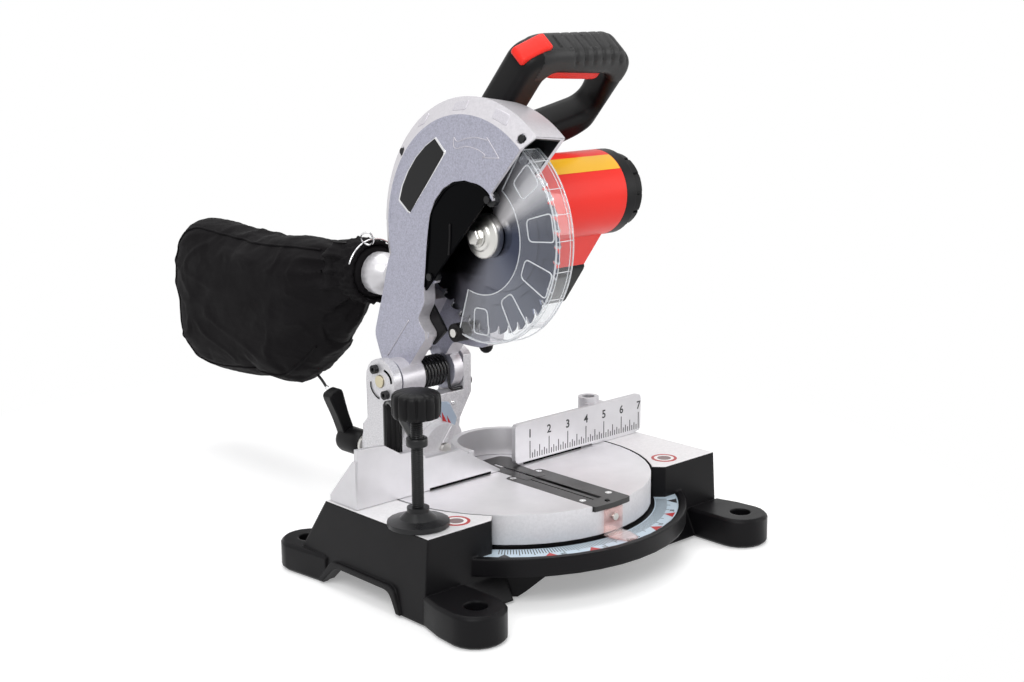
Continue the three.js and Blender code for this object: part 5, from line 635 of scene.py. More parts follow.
def tube(points, radius, sides=12, closed=False, flat=1.0, ends=True):
    """A round wire along a path, its section squeezed by flat."""
    points = [Vector(p) for p in points]
    count = len(points)
    verts, faces = [], []
    side = None
    for i, point in enumerate(points):
        before = points[i - 1] if (closed or i) else point
        after = points[(i + 1) % count] if (closed or i < count - 1) else point
        along = (after - before).normalized()
        if side is None:
            side = along.orthogonal().normalized()
        side = (side - along * side.dot(along)).normalized()
        up = along.cross(side)
        wide = radius(i / max(count - 1, 1)) if callable(radius) else radius
        for k in range(sides):
            turn = 2 * math.pi * k / sides
            verts.append(point + side * math.cos(turn) * wide + up * math.sin(turn) * wide * flat)
    for i in range(count if closed else count - 1):
        for k in range(sides):
            a, b = i * sides + k, i * sides + (k + 1) % sides
            c, d = ((i + 1) % count) * sides + k, ((i + 1) % count) * sides + (k + 1) % sides
            faces.append((a, b, d, c))
    if not closed and ends:
        faces.append(tuple(reversed(range(sides))))
        faces.append(tuple(range((count - 1) * sides, count * sides)))
    return verts, faces


def smooth_path(points, parts=6, closed=False):
    """A Catmull-Rom curve through the points."""
    points = [Vector(p) for p in points]
    count = len(points)
    made = []
    for i in range(count if closed else count - 1):
        if closed:
            a, b, c, d = (points[(i + k) % count] for k in (-1, 0, 1, 2))
        else:
            a, b, c, d = (points[min(max(i + k, 0), count - 1)] for k in (-1, 0, 1, 2))
        for k in range(parts):
            t = k / parts
            made.append(0.5 * ((2 * b) + (c - a) * t + (2 * a - 5 * b + 4 * c - d) * t ** 2
                               + (3 * b - 3 * c + d - a) * t ** 3))
    if not closed:
        made.append(points[-1])
    return made


def lathe(profile, sides=64, warp=None):
    """Turns (radius, w) points about w; warp may move each point."""
    verts, faces = [], []
    for radius, w in profile:
        for k in range(sides):
            turn = 2 * math.pi * k / sides
            r = warp(radius, w, turn) if warp else radius
            verts.append((r * math.cos(turn), r * math.sin(turn), w))
    for i in range(len(profile) - 1):
        for k in range(sides):
            a, b = i * sides + k, i * sides + (k + 1) % sides
            faces.append((a, b, b + sides, a + sides))
    return verts, faces


def merged(*parts):
    verts, faces = [], []
    for more, shapes in parts:
        first = len(verts)
        verts += [tuple(v) for v in more]
        faces += [tuple(i + first for i in face) for face in shapes]
    return verts, faces


def seen(column, row, *names):
    """Where the camera sees one of the named pieces at a place in its picture: point and normal, in metres."""
    eye = CAMERA.matrix_world.translation
    turn = CAMERA.matrix_world.to_3x3()
    column, row = (column - PICTURE[0] / 2) / FOCAL, (PICTURE[1] / 2 - row) / FOCAL
    aim = (turn @ Vector((column, row, -1))).normalized()
    best = None
    for name in names:
        piece = frame["nodes"][name]
        back = piece.matrix_world.inverted()
        hit, place, normal, _ = piece.ray_cast(back @ eye, (back.to_3x3() @ aim).normalized())
        if hit:
            place = piece.matrix_world @ place
            far = (place - eye).length
            if best is None or far < best[0]:
                best = (far, place, (piece.matrix_world.to_3x3() @ normal).normalized())
    if best is None:
        return None
    return best[1], best[2]


def patch(name, corners, on, look, body, thick=0.5, round_=2.0, rim=0.4, sink=0.0, step=2.0, hole=0.0):
    """A thin raised plate over a face, its outline given where the camera sees it."""
    hits = [h for h in (seen(c, r, *on) for c, r in corners) if h]
    if len(hits) < 4:
        return None
    middle = sum((h[0] for h in hits), Vector()) / len(hits)
    normal = Vector()
    for i, (place, _) in enumerate(hits):
        following = hits[(i + 1) % len(hits)][0]
        normal += (place - middle).cross(following - middle)
    normal.normalize()
    if normal.dot(sum((h[1] for h in hits), Vector())) < 0:
        normal.negate()
    across = hits[1][0] - hits[0][0]
    across = (across - normal * across.dot(normal)).normalized()
    up = normal.cross(across)
    flat = [((h[0] - middle).dot(across) / MM, (h[0] - middle).dot(up) / MM) for h in hits]
    outline = rounded(flat, round_)
    holes = []
    if hole:
        size = [max(abs(p[k]) for p in flat) for k in (0, 1)]
        holes = [rounded([(p[0] * (1 - hole / size[0]), p[1] * (1 - hole / size[1])) for p in flat], round_ * 0.7)]
    verts, faces = puffed(outline, holes, rim, thick, step)
    turn = Matrix((across, up, normal)).transposed().to_4x4()
    matrix = Matrix.Translation(middle - normal * sink * MM) @ turn @ Matrix.Scale(MM, 4)
    return make_piece(name, (verts, faces), look, body, matrix)


def ridge(name, places, on, look, body, radius=0.6, flat=1.0, closed=False, lift=0.0):
    """A raised line over a surface, its path given where the camera sees it."""
    hits = [h for h in (seen(c, r, *on) for c, r in places) if h]
    path = smooth_path([h[0] + h[1] * lift * MM for h in hits], 5, closed)
    return make_piece(name, tube(path, radius * MM, 8, closed, flat), look, body)


# ---- Finishes of the finer pieces ----

BAG = painted("bag_cloth", (0.0055, 0.0048, 0.0055), 0.7, specular=0.08, edge=0.0002, size=1800, mottle=0.35,
              bump=0.6,
              depth=0.00025)
PIPING = painted("piping", (0.011, 0.011, 0.012), 0.5, edge=0.0002, size=3000, mottle=0.3, bump=0.5)
GRIP = painted("grip_rubber", (0.0075, 0.0073, 0.0076), 0.5, edge=0.0002, size=2600, mottle=0.3, bump=0.55,
               depth=0.00008, specular=0.4)
CHROME, _, _ = machined("chrome", (0.78, 0.78, 0.79), 0.14)
SPRING_STEEL = painted("spring_steel", (0.014, 0.014, 0.015), 0.22, metal=0.2, edge=0.0002, size=1200, bump=0.08)
YELLOW = painted("yellow_band", (0.86, 0.46, 0.015), 0.35, edge=0.0001, size=3000, mottle=0.04, bump=0.08)
RED_PRINT = painted("red_print", (0.42, 0.014, 0.014), 0.35, edge=0.0001, size=3000, mottle=0.05, bump=0.05)
BLACK_PRINT = painted("black_print", (0.02, 0.02, 0.022), 0.4, edge=0.0001, size=3000, mottle=0.1, bump=0.05)
WHITE_PRINT = painted("white_print", (0.8, 0.8, 0.79), 0.4, edge=0.0001, size=3000, mottle=0.03, bump=0.05)
DISC_FACE = painted("disc_face", (0.2, 0.13, 0.13), 0.4, edge=0.0001, size=3000, mottle=0.2, bump=0.05)
BLUE_PLATE = painted("scale_plate", (0.42, 0.5, 0.6), 0.32, metal=0.35, edge=0.0002, size=1500, mottle=0.06, bump=0.1)
SCALE_PLATE = painted("mitre_plate", (0.5, 0.6, 0.68), 0.38, metal=0.15, edge=0.0002, size=1500, mottle=0.05,
                      bump=0.1)
PAD_PAINT = painted("pad_paint", (0.58, 0.56, 0.6), 0.36, metal=0.4, edge=0.0004, size=900, mottle=0.1, bump=0.2)
BADGE = painted("badge", (0.0025, 0.0025, 0.003), 0.25, edge=0.0002, size=1500, mottle=0.2, bump=0.05,
                specular=0.25)
BLADE_WITH_PAINTED_LIGHT, blade_tree, blade_bsdf = machined("blade_face", (0.36, 0.39, 0.46), 0.2)
blade_bsdf.inputs["Anisotropic"].default_value = 0.8
spun = vectors(blade_tree, "SUBTRACT", local(blade_tree), at(*BLADE_AT))
blade_tree.links.new(vectors(blade_tree, "CROSS_PRODUCT", spun, ALONG_X), blade_bsdf.inputs["Tangent"])
blade_ahead = maths(blade_tree, "MULTIPLY", split(blade_tree, spun, "Y"), -1.0)
blade_turn = maths(blade_tree, "ARCTAN2", split(blade_tree, spun, "Z"), blade_ahead)
blade_share = maths(blade_tree, "MULTIPLY_ADD", blade_turn, 0.5 / math.pi, 0.5)
# Painted light on the blade, by the angle about its axis: a bright cone of painted highlight about 45 degrees above
# the front, and painted shade round most of the rest.
painted_blade_light = ramp(blade_tree, blade_share, (0.0, (0.03, 0.029, 0.035)), (0.12, (0.05, 0.047, 0.055)),
                   (0.24, (0.17, 0.175, 0.21)), (0.34, (0.13, 0.14, 0.18)), (0.44, (0.055, 0.062, 0.095)),
                   (0.52, (0.05, 0.058, 0.09)), (0.565, (0.12, 0.125, 0.155)), (0.605, (0.82, 0.8, 0.82)),
                   (0.645, (0.8, 0.78, 0.8)), (0.69, (0.22, 0.21, 0.23)), (0.76, (0.03, 0.028, 0.03)))
blade_tree.links.new(painted_blade_light, blade_bsdf.inputs["Base Color"])
# Less metal inside the painted highlight's cone, so the lamps light its pale colour.
blade_highlight_metal = ramp(blade_tree, blade_share, (0.54, 1.0), (0.6, 0.12), (0.66, 0.12), (0.73, 1.0))
blade_tree.links.new(blade_highlight_metal, blade_bsdf.inputs["Metallic"])
CARBIDE = painted("carbide", (0.5, 0.5, 0.52), 0.24, metal=0.85, edge=0.0001, size=4000, mottle=0.15, bump=0.2)


# ---- Saw blade ----

TEETH = 40


def blade_outline():
    """Hooked teeth with round gullets, about the blade's axis."""
    made = []
    for i in range(TEETH):
        start = 2 * math.pi * i / TEETH
        pitch = 2 * math.pi / TEETH
        for share, reach in ((0.0, 92.3), (0.03, 88.0), (0.07, 84.9), (0.13, 83.6), (0.2, 83.9), (0.27, 85.6),
                             (0.36, 88.2), (0.55, 90.2), (0.8, 91.6), (0.985, 92.3)):
            turn = start + pitch * share
            made.append((reach * math.cos(turn), reach * math.sin(turn)))
    return made


def make_blade():
    outline = blade_outline()
    inner = [(9 * math.cos(2 * math.pi * k / 48), 9 * math.sin(2 * math.pi * k / 48)) for k in range(48)]
    flat = [Vector(p) for p in outline + inner]
    rim = len(outline)
    edges = [(i, (i + 1) % rim) for i in range(rim)] + [(rim + i, rim + (i + 1) % 48) for i in range(48)]
    for reach, count in ((78, 160), (60, 120), (40, 90), (24, 60)):
        flat += [Vector((reach * math.cos(2 * math.pi * k / count), reach * math.sin(2 * math.pi * k / count)))
                 for k in range(count)]
    places, _, shapes, *_ = geometry.delaunay_2d_cdt(flat, edges, [], 0, 1e-5)
    middles = [(places[a] + places[b] + places[c]) / 3 for a, b, c in shapes]
    _, keep = distances(middles, [outline, inner])
    shapes = [s for s, ok in zip(shapes, keep) if ok]
    count = len(places)
    verts = [(p.x, p.y, 0.85) for p in places] + [(p.x, p.y, -0.85) for p in places]
    faces, border = [], set()
    for a, b, c in shapes:
        if (places[b] - places[a]).cross(places[c] - places[a]) < 0:
            b, c = c, b
        faces += [(a, b, c), (a + count, c + count, b + count)]
        border |= {(a, b), (b, c), (c, a)}
    faces += [(s, s + count, e + count, e) for s, e in sorted(border) if (e, s) not in border]
    where = basis(BLADE_AT, ALONG_Y, ALONG_Z)
    make_piece("saw_blade", (verts, faces), BLADE_WITH_PAINTED_LIGHT, "blade", where, smooth=False, hides=["blade"])
    tips = []
    for i in range(TEETH):
        turn = Matrix.Rotation(2 * math.pi * i / TEETH, 2)
        corners = [turn @ Vector(p) for p in ((92.5, 0.2), (86.8, -0.5), (86.2, 1.3), (91.9, 2.6))]
        verts = [(c.x, c.y, w) for w in (-1.25, 1.25) for c in corners]
        tips.append((verts, BOX_FACES))
    make_piece("carbide_tips", merged(*tips), CARBIDE, "blade", where, smooth=False)


def make_guard_ring():
    """The upper guard's rounded outer skin, over the CAD casting's facets, open round its two screws."""
    pockets = []
    for name in ("guard_screw_1", "guard_screw_2"):
        low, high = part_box(name)
        pockets.append(((low.y + high.y) / 2 / MM - MITRE_Y, (low.z + high.z) / 2 / MM,
                        (high.y - low.y) / 2 / MM + 0.7))

    def strip(name, profile, rows, first=2.0, step=0.3):
        (x0, r0), (x1, r1) = profile
        verts, faces, keep = [], [], []
        count = int((130.8 - first) / step)
        for i in range(count + 1):
            for k in range(rows + 1):
                t = k / rows
                x, reach = x0 + (x1 - x0) * t, r0 + (r1 - r0) * t
                end = 133.2 - math.degrees(math.asin(5.0 / reach))
                turn = math.radians(first + (end - first) * i / count)
                y, z = BLADE_AT[1] + reach * math.cos(turn), BLADE_AT[2] + reach * math.sin(turn)
                verts.append(at(x, y, z))
                keep.append(all(math.hypot(y - p, z - q) > far for p, q, far in pockets))
        for i in range(count):
            for k in range(rows):
                a = i * (rows + 1) + k
                corners = (a, a + rows + 1, a + rows + 2, a + 1)
                if x1 > -19 or all(keep[c] for c in corners):
                    faces.append(corners)
        make_piece(name, (verts, faces), HEAD_PAINT, "head")

    strip("guard_skin_face", ((-30.12, 109.0), (-30.12, 112.1)), 4)
    strip("guard_skin_bevel", ((-30.12, 112.1), (-20.1, 127.75)), 26)
    strip("guard_skin_round", ((-20.1, 127.75), (18.12, 122.25)), 24, step=0.6)
    strip("guard_skin_right", ((18.12, 122.25), (18.12, 119.5)), 3, step=0.6)


def make_flange():
    """The stepped outer flange with the bolt that holds the blade."""
    where = basis(BLADE_AT, ALONG_Y, ALONG_Z)
    profile = [(0.01, -15), (8.2, -15), (8.8, -14.6), (12.4, -14.2), (13.2, -13.6), (13.8, -12.4), (14.6, -12.0),
               (19.2, -11.2), (20.6, -10.5), (21.2, -9.2), (21.2, -2.2), (20.6, -1.6), (0.01, -1.6)]
    verts, faces = lathe(profile, 96)
    body = body_holding("outer_flange")
    make_piece("flange_face", (verts, faces), ZINC, body, where, hides=["outer_flange", "arbor_bolt"])
    corners = []
    for w, across in ((-15.0, 6.6), (-20.8, 6.6), (-21.6, 6.0)):
        reach = across / math.cos(math.pi / 6)
        corners += [(reach * math.cos(math.pi * k / 3), reach * math.sin(math.pi * k / 3), w) for k in range(6)]
    faces = [(6 * r + k, 6 * r + (k + 1) % 6, 6 * (r + 1) + (k + 1) % 6,
              6 * (r + 1) + k) for r in (0, 1) for k in range(6)]
    faces = [tuple(reversed(f)) for f in faces] + [tuple(reversed(range(12, 18)))]
    washer = lathe([(0.01, -16.6), (8.9, -16.6), (9.6, -16.1), (9.8, -15), (0.01, -15)], 64)
    make_piece("flange_bolt", merged(washer, (corners, faces)), ZINC, body, where, smooth=False)


# ---- Lower guard ----

def make_guard():
    """A thin clear channel with moulded frames, and bright lines where its edges catch the light."""
    def spot(x, reach, angle):
        turn = math.radians(angle)
        return at(x, BLADE_AT[1] + reach * math.cos(turn), BLADE_AT[2] + reach * math.sin(turn))

    def skin(name, a, b, look, start=124, end=288, steps=60, rows=4, hides=()):
        verts, faces = [], []
        for i in range(steps + 1):
            angle = start + (end - start) * i / steps
            for k in range(rows + 1):
                t = k / rows
                verts.append(spot(a[0] + (b[0] - a[0]) * t, a[1] + (b[1] - a[1]) * t, angle))
        for i in range(steps):
            for k in range(rows):
                first = i * (rows + 1) + k
                faces.append((first, first + 1, first + rows + 2, first + rows + 1))
        make_piece(name, (verts, faces), look, "lower_guard", hides=hides)

    skin("guard_side", (-12.4, 54), (-12.4, 98), CLEAR, hides=["lower_guard"])
    skin("guard_corner", (-12.4, 98), (-10.6, 99.8), CLEAR_RIM_HIGHLIGHT, rows=2)
    skin("guard_rim_top", (-10.6, 99.8), (9.6, 99.8), CLEAR, end=196)
    skin("guard_rim_low", (-10.6, 99.8), (9.6, 99.8), CLEAR_RIM_HIGHLIGHT, start=196)
    skin("guard_back", (9.6, 99.8), (9.6, 67), CLEAR)
    lines = []

    def line(path, radius):
        lines.append(tube(path, radius * MM, 8))

    for x, reach, start, end, radius in ((-12.5, 54, 124, 289, 0.55), (-11.6, 99.2, 124, 289, 0.8),
                                         (-8.2, 99.9, 128, 289, 0.4), (9.1, 99.6, 124, 289, 0.7),
                                         (5.0, 99.9, 124, 230, 0.4)):
        line([spot(x, reach, angle) for angle in range(start, end, 3)], radius)
    for end in (124, 288):
        line([spot(-12.4, reach, end) for reach in range(54, 100, 5)], 0.6)
        line([spot(x, 99.6, end) for x in range(-12, 10, 3)], 0.6)
    for angle in (133, 150, 163.5, 177, 193, 209, 228, 250, 270):
        line([spot(x, 99.9, angle) for x in range(-11, 10, 4)], 0.4)
    make_piece("guard_lines", merged(*lines), CLEAR_EDGE_HIGHLIGHT, "lower_guard")
    frames = []
    for inner, outer, start, end in ((69.5, 96, 130.5, 146.5), (66, 98.5, 161, 178), (63, 98.5, 192.5, 209.5),
                                     (63, 97.5, 228, 243.5), (67.5, 92, 261.5, 276.5)):
        corners = []
        for reach, angle in ((inner, start), (outer, start + 1), (outer, end - 1), (inner, end)):
            turn = math.radians(angle)
            corners.append((reach * math.cos(turn), reach * math.sin(turn)))
        path = [at(-12.9, BLADE_AT[1] + p.x, BLADE_AT[2] + p.y) for p in resampled(rounded(corners, 5, 5), 2)]
        frames.append(tube(path, 0.62 * MM, 8, True))
    make_piece("guard_frames", merged(*frames), CLEAR_EDGE_HIGHLIGHT, "lower_guard")
    block = [spot(x, reach, angle) for x in (-10.5, 9) for reach,
             angle in ((88, 124.5), (99.3, 124.5), (99.3, 131), (88, 131))]
    make_piece("guard_stop", (block, BOX_FACES), CLEAR_RIM_HIGHLIGHT, "lower_guard", smooth=False)


# ---- Torsion spring ----

def make_spring():
    """The head's return spring about its pivot, with a leg at each end."""
    y, z, reach = 124, 149, 14.2
    turns, steps = 7.25, 48
    path = [(-14.6, y, z + reach)]
    for i in range(int(turns * steps) + 1):
        turn = math.pi / 2 + 2 * math.pi * i / steps
        path.append((-11.4 + 4.1 * i / steps, y + reach * math.cos(turn), z + reach * math.sin(turn)))
    x, y, _ = path[-1]
    path += [(x + 0.8, y, z - 12.5), (x + 2.5, y, z - 17.2), (x + 5, y, z - 19), (32.4, y, z - 19), (35.6, y, z - 19)]
    make_piece("spring_coil", tube([at(*p) for p in path], 1.6 * MM, 16), SPRING_STEEL,
               body_holding("torsion_spring"),
               hides=["torsion_spring"])


def body_holding(name):
    return frame["nodes"][name]["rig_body"]


# ---- Handle ----

HANDLE_UP = (0, -0.656, 0.755)
HANDLE_SPOT = (0, 90.8, 351.4)
HANDLE_OUTLINE = [(10 + 140 * u, 158 * v) for u, v in (
    (0, 0.32), (0, 0.905), (0.16, 0.994), (0.83, 1), (1, 0.885), (1, 0.366), (0.9, 0.28), (0.7, 0.19), (0.38, 0.07),
    (0.38, -0.03), (0.07, -0.03))]
HANDLE_GAP = [(10 + 140 * u, 158 * v) for u, v in ((0.235, 0.834), (0.843, 0.803), (0.915, 0.49), (0.62, 0.385),
                                                   (0.235, 0.28))]


def groove_depth(u, v, w):
    """Seven curved grooves over the top of the grip, which hook at their lower ends."""
    round_top = max(0.0, 158 - v) + max(0.0, abs(w) - 9)
    if not 60 < u < 144 or round_top > 24:
        return 0.0
    bend = 0.0 if round_top < 10 else ((round_top - 10) / 14) ** 2 * 6
    nearest = min(abs(u - bend - (65 + 11.6 * i)) for i in range(7))
    return 1.9 * math.exp(-(nearest / 1.3) ** 2) * min(1.0, (24 - round_top) / 4)


def make_handle():
    outline = rounded(HANDLE_OUTLINE, 13, 7)
    gap = rounded(HANDLE_GAP, 12, 7)
    verts, faces = puffed(outline, [gap], 9, 17, 1.9)
    where = basis(HANDLE_SPOT, ALONG_X, HANDLE_UP)
    handle = make_piece("handle_shell", (verts, faces), BLACK_MOULD, "head", where,
                        hides=["handle_front", "handle_rear"])
    handle.data.materials.append(GRIP)
    for face in handle.data.polygons:
        middle = where.inverted() @ face.center
        if 27 < middle.x and middle.y > 127 - 0.06 * (middle.x - 27):
            face.material_index = 1
    back = where.inverted()
    normals = [v.normal.copy() for v in handle.data.vertices]
    for vertex, normal in zip(handle.data.vertices, normals):
        spot = back @ vertex.co
        if 27 < spot.x and spot.y > 128 - 0.06 * (spot.x - 27):
            vertex.co += normal * (0.5 - groove_depth(spot.x, spot.y, spot.z)) * MM
    handle.data.update()
    button = [(7.6, 138), (7.6, 144.6), (31, 160.2), (36.4, 160.6), (36.4, 150), (20, 137)]
    make_piece("lock_off", puffed(rounded(button, 3.0), (), 2.2, 9.2, 1.5), RED, "lock_button", where,
               hides=["lock_button"])
    pull = [(45, 134), (122, 129), (123, 117.5), (117, 114.5), (58, 118), (46, 122)]
    make_piece("trigger_bar", puffed(rounded(pull, 5), (), 4, 8.5, 2.0), RED, "trigger", where, hides=["trigger"])


# ---- Dust bag ----

BAG_OUTLINE = [(205.5 + 350 * s, 266.5 - 173 * t) for s, t in (
    (0.0, 0.03), (0.2, 0.0), (0.9, 0.0), (0.98, 0.34), (0.92,
                                                        0.87), (0.8, 0.985), (0.31, 0.94), (0.2, 0.78), (0.0, 0.36))]


def bag_shell():
    """The filled bag before its cloth is let go: two bulging sides drawn in to the neck."""
    def bulge(u, v, h, d):
        into = min(1.0, max(0.0, (u - 200) / 85))
        width = 0.62 + 0.38 * (into * into * (3 - 2 * into))
        tail = 1.0 - 0.16 * max(0.0, (u - 480) / 75)
        return h * width * tail, -h * width * tail
    outline = rounded(BAG_OUTLINE, 34, 8)
    return puffed(outline, (), 39, 40, 7, bulge)


def applied(obj, modifier):
    """The object's mesh with its modifier in it, in place of the modifier."""
    done = bpy.data.meshes.new_from_object(obj.evaluated_get(bpy.context.evaluated_depsgraph_get()))
    obj.modifiers.remove(modifier)
    obj.data = done


def let_go(obj, frames=20, farthest=0.006):
    """Runs the cloth for a while: the air inside fills the bag and its neck stays held."""
    held = obj.vertex_groups.new(name="held")
    for vertex in obj.data.vertices:
        y = vertex.co.y / MM - MITRE_Y
        hold = min(1.0, max(0.0, (232 - y) / 14))
        if hold > 0:
            held.add([vertex.index], hold, "REPLACE")
    start = [v.co.copy() for v in obj.data.vertices]
    cloth = obj.modifiers.new("cloth", "CLOTH")
    settings = cloth.settings
    settings.quality = 6
    settings.mass = 0.25
    settings.use_pressure = True
    settings.uniform_pressure_force = 4
    settings.tension_stiffness = settings.compression_stiffness = 12
    settings.shear_stiffness = 6
    settings.bending_stiffness = 0.35
    settings.shrink_min = -0.035
    settings.effector_weights.gravity = 0
    settings.vertex_group_mass = "held"
    cloth.collision_settings.use_self_collision = False
    scene = bpy.context.scene
    for index in range(1, frames + 1):
        scene.frame_set(index)
    moved = obj.evaluated_get(bpy.context.evaluated_depsgraph_get()).to_mesh()
    places = [v.co.copy() for v in moved.vertices]
    obj.modifiers.remove(cloth)
    scene.frame_set(1)
    for vertex, before, after in zip(obj.data.vertices, start, places):
        shift = after - before
        if shift.length > farthest:
            shift *= farthest / shift.length
        vertex.co = before + shift


def make_bag():
    verts, faces = bag_shell()
    neck = [(28.5, 190), (28.5, 199), (29.5, 206), (34, 215), (40, 226), (40, 240)]
    where = basis((-4, 0, 0), ALONG_Y, ALONG_Z)
    bag = make_piece("bag", (verts, faces), BAG, "head", where, hides=["dust_bag"])
    sleeve = lathe([(0.5, 190), *neck, (0.5, 240)], 64)
    spin = Matrix.Translation(at(*NECK_AT)) @ Matrix.Rotation(math.radians(-90), 4, "X") @ Matrix.Scale(MM, 4)
    sleeve = make_piece("bag_sleeve", sleeve, BAG, "head", spin)
    bm = bmesh.new()
    bm.from_mesh(bag.data)
    bm.from_mesh(sleeve.data)
    bm.to_mesh(bag.data)
    bm.free()
    bpy.data.objects.remove(sleeve)
    remesh = bag.modifiers.new("remesh", "REMESH")
    remesh.mode = "VOXEL"
    remesh.voxel_size = 0.0045
    applied(bag, remesh)
    bag.data.materials.clear()
    bag.data.materials.append(BAG)
    soften(bag.data, 10)
    gather(bag, 4.2)
    let_go(bag)
    finer = bag.modifiers.new("finer", "SUBSURF")
    finer.levels = finer.render_levels = 1
    applied(bag, finer)
    crease(bag)
    keep_in(bag)
    bag.data.polygons.foreach_set("use_smooth", [True] * len(bag.data.polygons))
    return bag


def soften(mesh, times):
    bm = bmesh.new()
    bm.from_mesh(mesh)
    for _ in range(times):
        bmesh.ops.smooth_vert(bm, verts=bm.verts, factor=0.5, use_axis_x=True, use_axis_y=True, use_axis_z=True)
    bm.to_mesh(mesh)
    bm.free()
    mesh.update()


def gather(bag, deep):
    """Presses folds into the cloth that fan out from the drawn-in neck."""
    random.seed(7)
    shifts = [random.uniform(-0.5, 0.5) for _ in range(8)]
    for vertex in bag.data.vertices:
        y = vertex.co.y / MM - MITRE_Y
        x = vertex.co.x / MM - NECK_AT[0]
        z = vertex.co.z / MM - NECK_AT[2]
        turn = math.atan2(z + 0.16 * max(0.0, y - 215), x)
        fall = max(0.0, y - 200)
        wave = math.sin(turn * 11 + shifts[0] + 1.6 * math.sin(turn * 2 + shifts[1]))
        wave += 0.5 * math.sin(turn * 19 + shifts[2] + 1.2 * math.sin(turn * 3 + shifts[3]))
        size = deep * min(1.0, fall / 14) * math.exp(-fall / 62)
        vertex.co += vertex.normal * (wave - 0.6) * size * MM
    bag.data.update()


def crease(bag):
    """Adds the slack cloth's soft creases and dents."""
    for vertex in bag.data.vertices:
        y = vertex.co.y / MM - MITRE_Y
        place = vertex.co * 1000
        along = Vector((place.x * 0.012, place.y * 0.011, place.z * 0.02))
        broad = noise.noise(along + Vector((3.1, 0.4, 7.7)))
        fold = 1 - abs(noise.noise(Vector((place.x * 0.02, place.y * 0.016 + broad, place.z * 0.034))) * 2)
        fine = 1 - abs(noise.noise(Vector((place.x * 0.05, place.y * 0.03 + 2 * broad, place.z * 0.07)) * 1.3) * 2)
        shift = 2.4 * broad + 1.7 * max(0.0, fold - 0.55) * 2 + 0.5 * max(0.0, fine - 0.6) * 2 - 1.2
        vertex.co += vertex.normal * shift * MM * min(1.0, max(0.0, (y - 206) / 25))
    bag.data.update()


def keep_in(bag):
    """Holds the cloth inside its own room beside the saw."""
    low, high = at(-48.5, 190, 91), at(40.5, 557, 269.5)
    outline = [Vector(p) for p in rounded(BAG_OUTLINE, 22, 8)]
    middle = Vector((400, 182))
    for vertex in bag.data.vertices:
        spot = Vector((vertex.co.y / MM - MITRE_Y, vertex.co.z / MM))
        if spot.x > 250:
            nearest = min(outline, key=lambda p: (p - spot).length_squared)
            if (spot - middle).length > (nearest - middle).length + 1.5:
                over = (spot - middle).length - (nearest - middle).length - 1.5
                spot -= (spot - middle).normalized() * over * 0.85
                vertex.co.y, vertex.co.z = (spot.x + MITRE_Y) * MM, spot.y * MM
        for k in range(3):
            vertex.co[k] = min(max(vertex.co[k], low[k]), high[k])
    bag.data.update()


def on_bag(bag, y, z, side, lift=0.4):
    """A place on the bag's side, and the way out of it."""
    start = at(side * 200, y, z)
    hit, place, normal, _ = bag.ray_cast(bag.matrix_world.inverted() @ start, Vector((-side, 0, 0)))
    return (bag.matrix_world @ place + normal * lift * MM) if hit else None


def make_bag_trim(bag):
    """Piping along the side seams, and the zip's cord and ring."""
    ring = rounded(BAG_OUTLINE, 34, 8)
    centre = Vector((380, 180))
    for side, name in ((-1, "left"), (1, "right")):
        path = []
        for point in resampled(ring, 9):
            inner = point + (centre - point).normalized() * 13
            if inner.x < 262:
                continue
            place = on_bag(bag, inner.x, inner.y, side)
            if place is not None:
                path.append(place)
        cut = max(range(len(path)), key=lambda i: (path[i] - path[i - 1]).length)
        path = smooth_path(path[cut:] + path[:cut], 3)
        make_piece("bag_seam_" + name, tube(path, 1.3 * MM, 8), BAG, "head")
    pull = [(-4, 299, 116), (-4, 294, 113), (-4, 289, 109.5), (-4, 285, 106)]
    make_piece("zip_cord", tube(smooth_path([at(*p) for p in pull], 5), 1.5 * MM, 8), PIPING, "head")
    turns = [at(-4, 282.4 + 3.2 * math.cos(0.3 * k), 103.6 + 3.2 * math.sin(0.3 * k)) for k in range(21)]
    make_piece("zip_ring", tube(turns, 0.7 * MM, 8, True), CHROME, "head")


def make_cuff():
    """The gathered end of the bag's neck, drawn over the dust outlet."""
    def folds(radius, w, turn):
        deep = min(max((radius - 26) / 6, 0), 1)
        return radius + deep * (0.9 * math.sin(turn * 17 + w * 0.4) + 0.7 * math.sin(turn * 29 - w * 0.7))
    where = basis(NECK_AT, ALONG_Z, ALONG_X)
    profile = [(26.5, 197), (28.2, 193.4), (30.2, 192.4), (32.0, 194.2), (31.4, 198), (32.6, 202), (31.6, 206),
               (32.8, 210),
               (32.2, 216), (32.6, 222)]
    make_piece("bag_cuff", lathe(profile, 200, folds), BAG, "head", where)


# ---- Work clamp ----

def ribbon(path, wide, thick, side=(0, 0, 1)):
    """A flat bar bent along a path; wide may be one width or one for each point."""
    path = [Vector(p) for p in path]
    verts, faces = [], []
    count = len(path)
    for i, point in enumerate(path):
        along = (path[min(i + 1, count - 1)] - path[max(i - 1, 0)]).normalized()
        across = Vector(side).cross(along).normalized()
        up = along.cross(across)
        w = (wide[i] if isinstance(wide, (list, tuple)) else wide) / 2
        h = thick / 2
        cut = min(w, h) * 0.45
        for a, b in ((w, h - cut), (w - cut, h), (-w + cut, h), (-w, h - cut), (-w, -h + cut), (-w + cut, -h),
                     (w - cut, -h), (w, -h + cut)):
            verts.append(point + across * a + up * b)
    for i in range(count - 1):
        for k in range(8):
            a, b = i * 8 + k, i * 8 + (k + 1) % 8
            faces.append((a, b, b + 8, a + 8))
    faces += [tuple(reversed(range(8))), tuple(range((count - 1) * 8, count * 8))]
    return verts, faces


SCREW_X, SCREW_Y = -163.1, -61.5


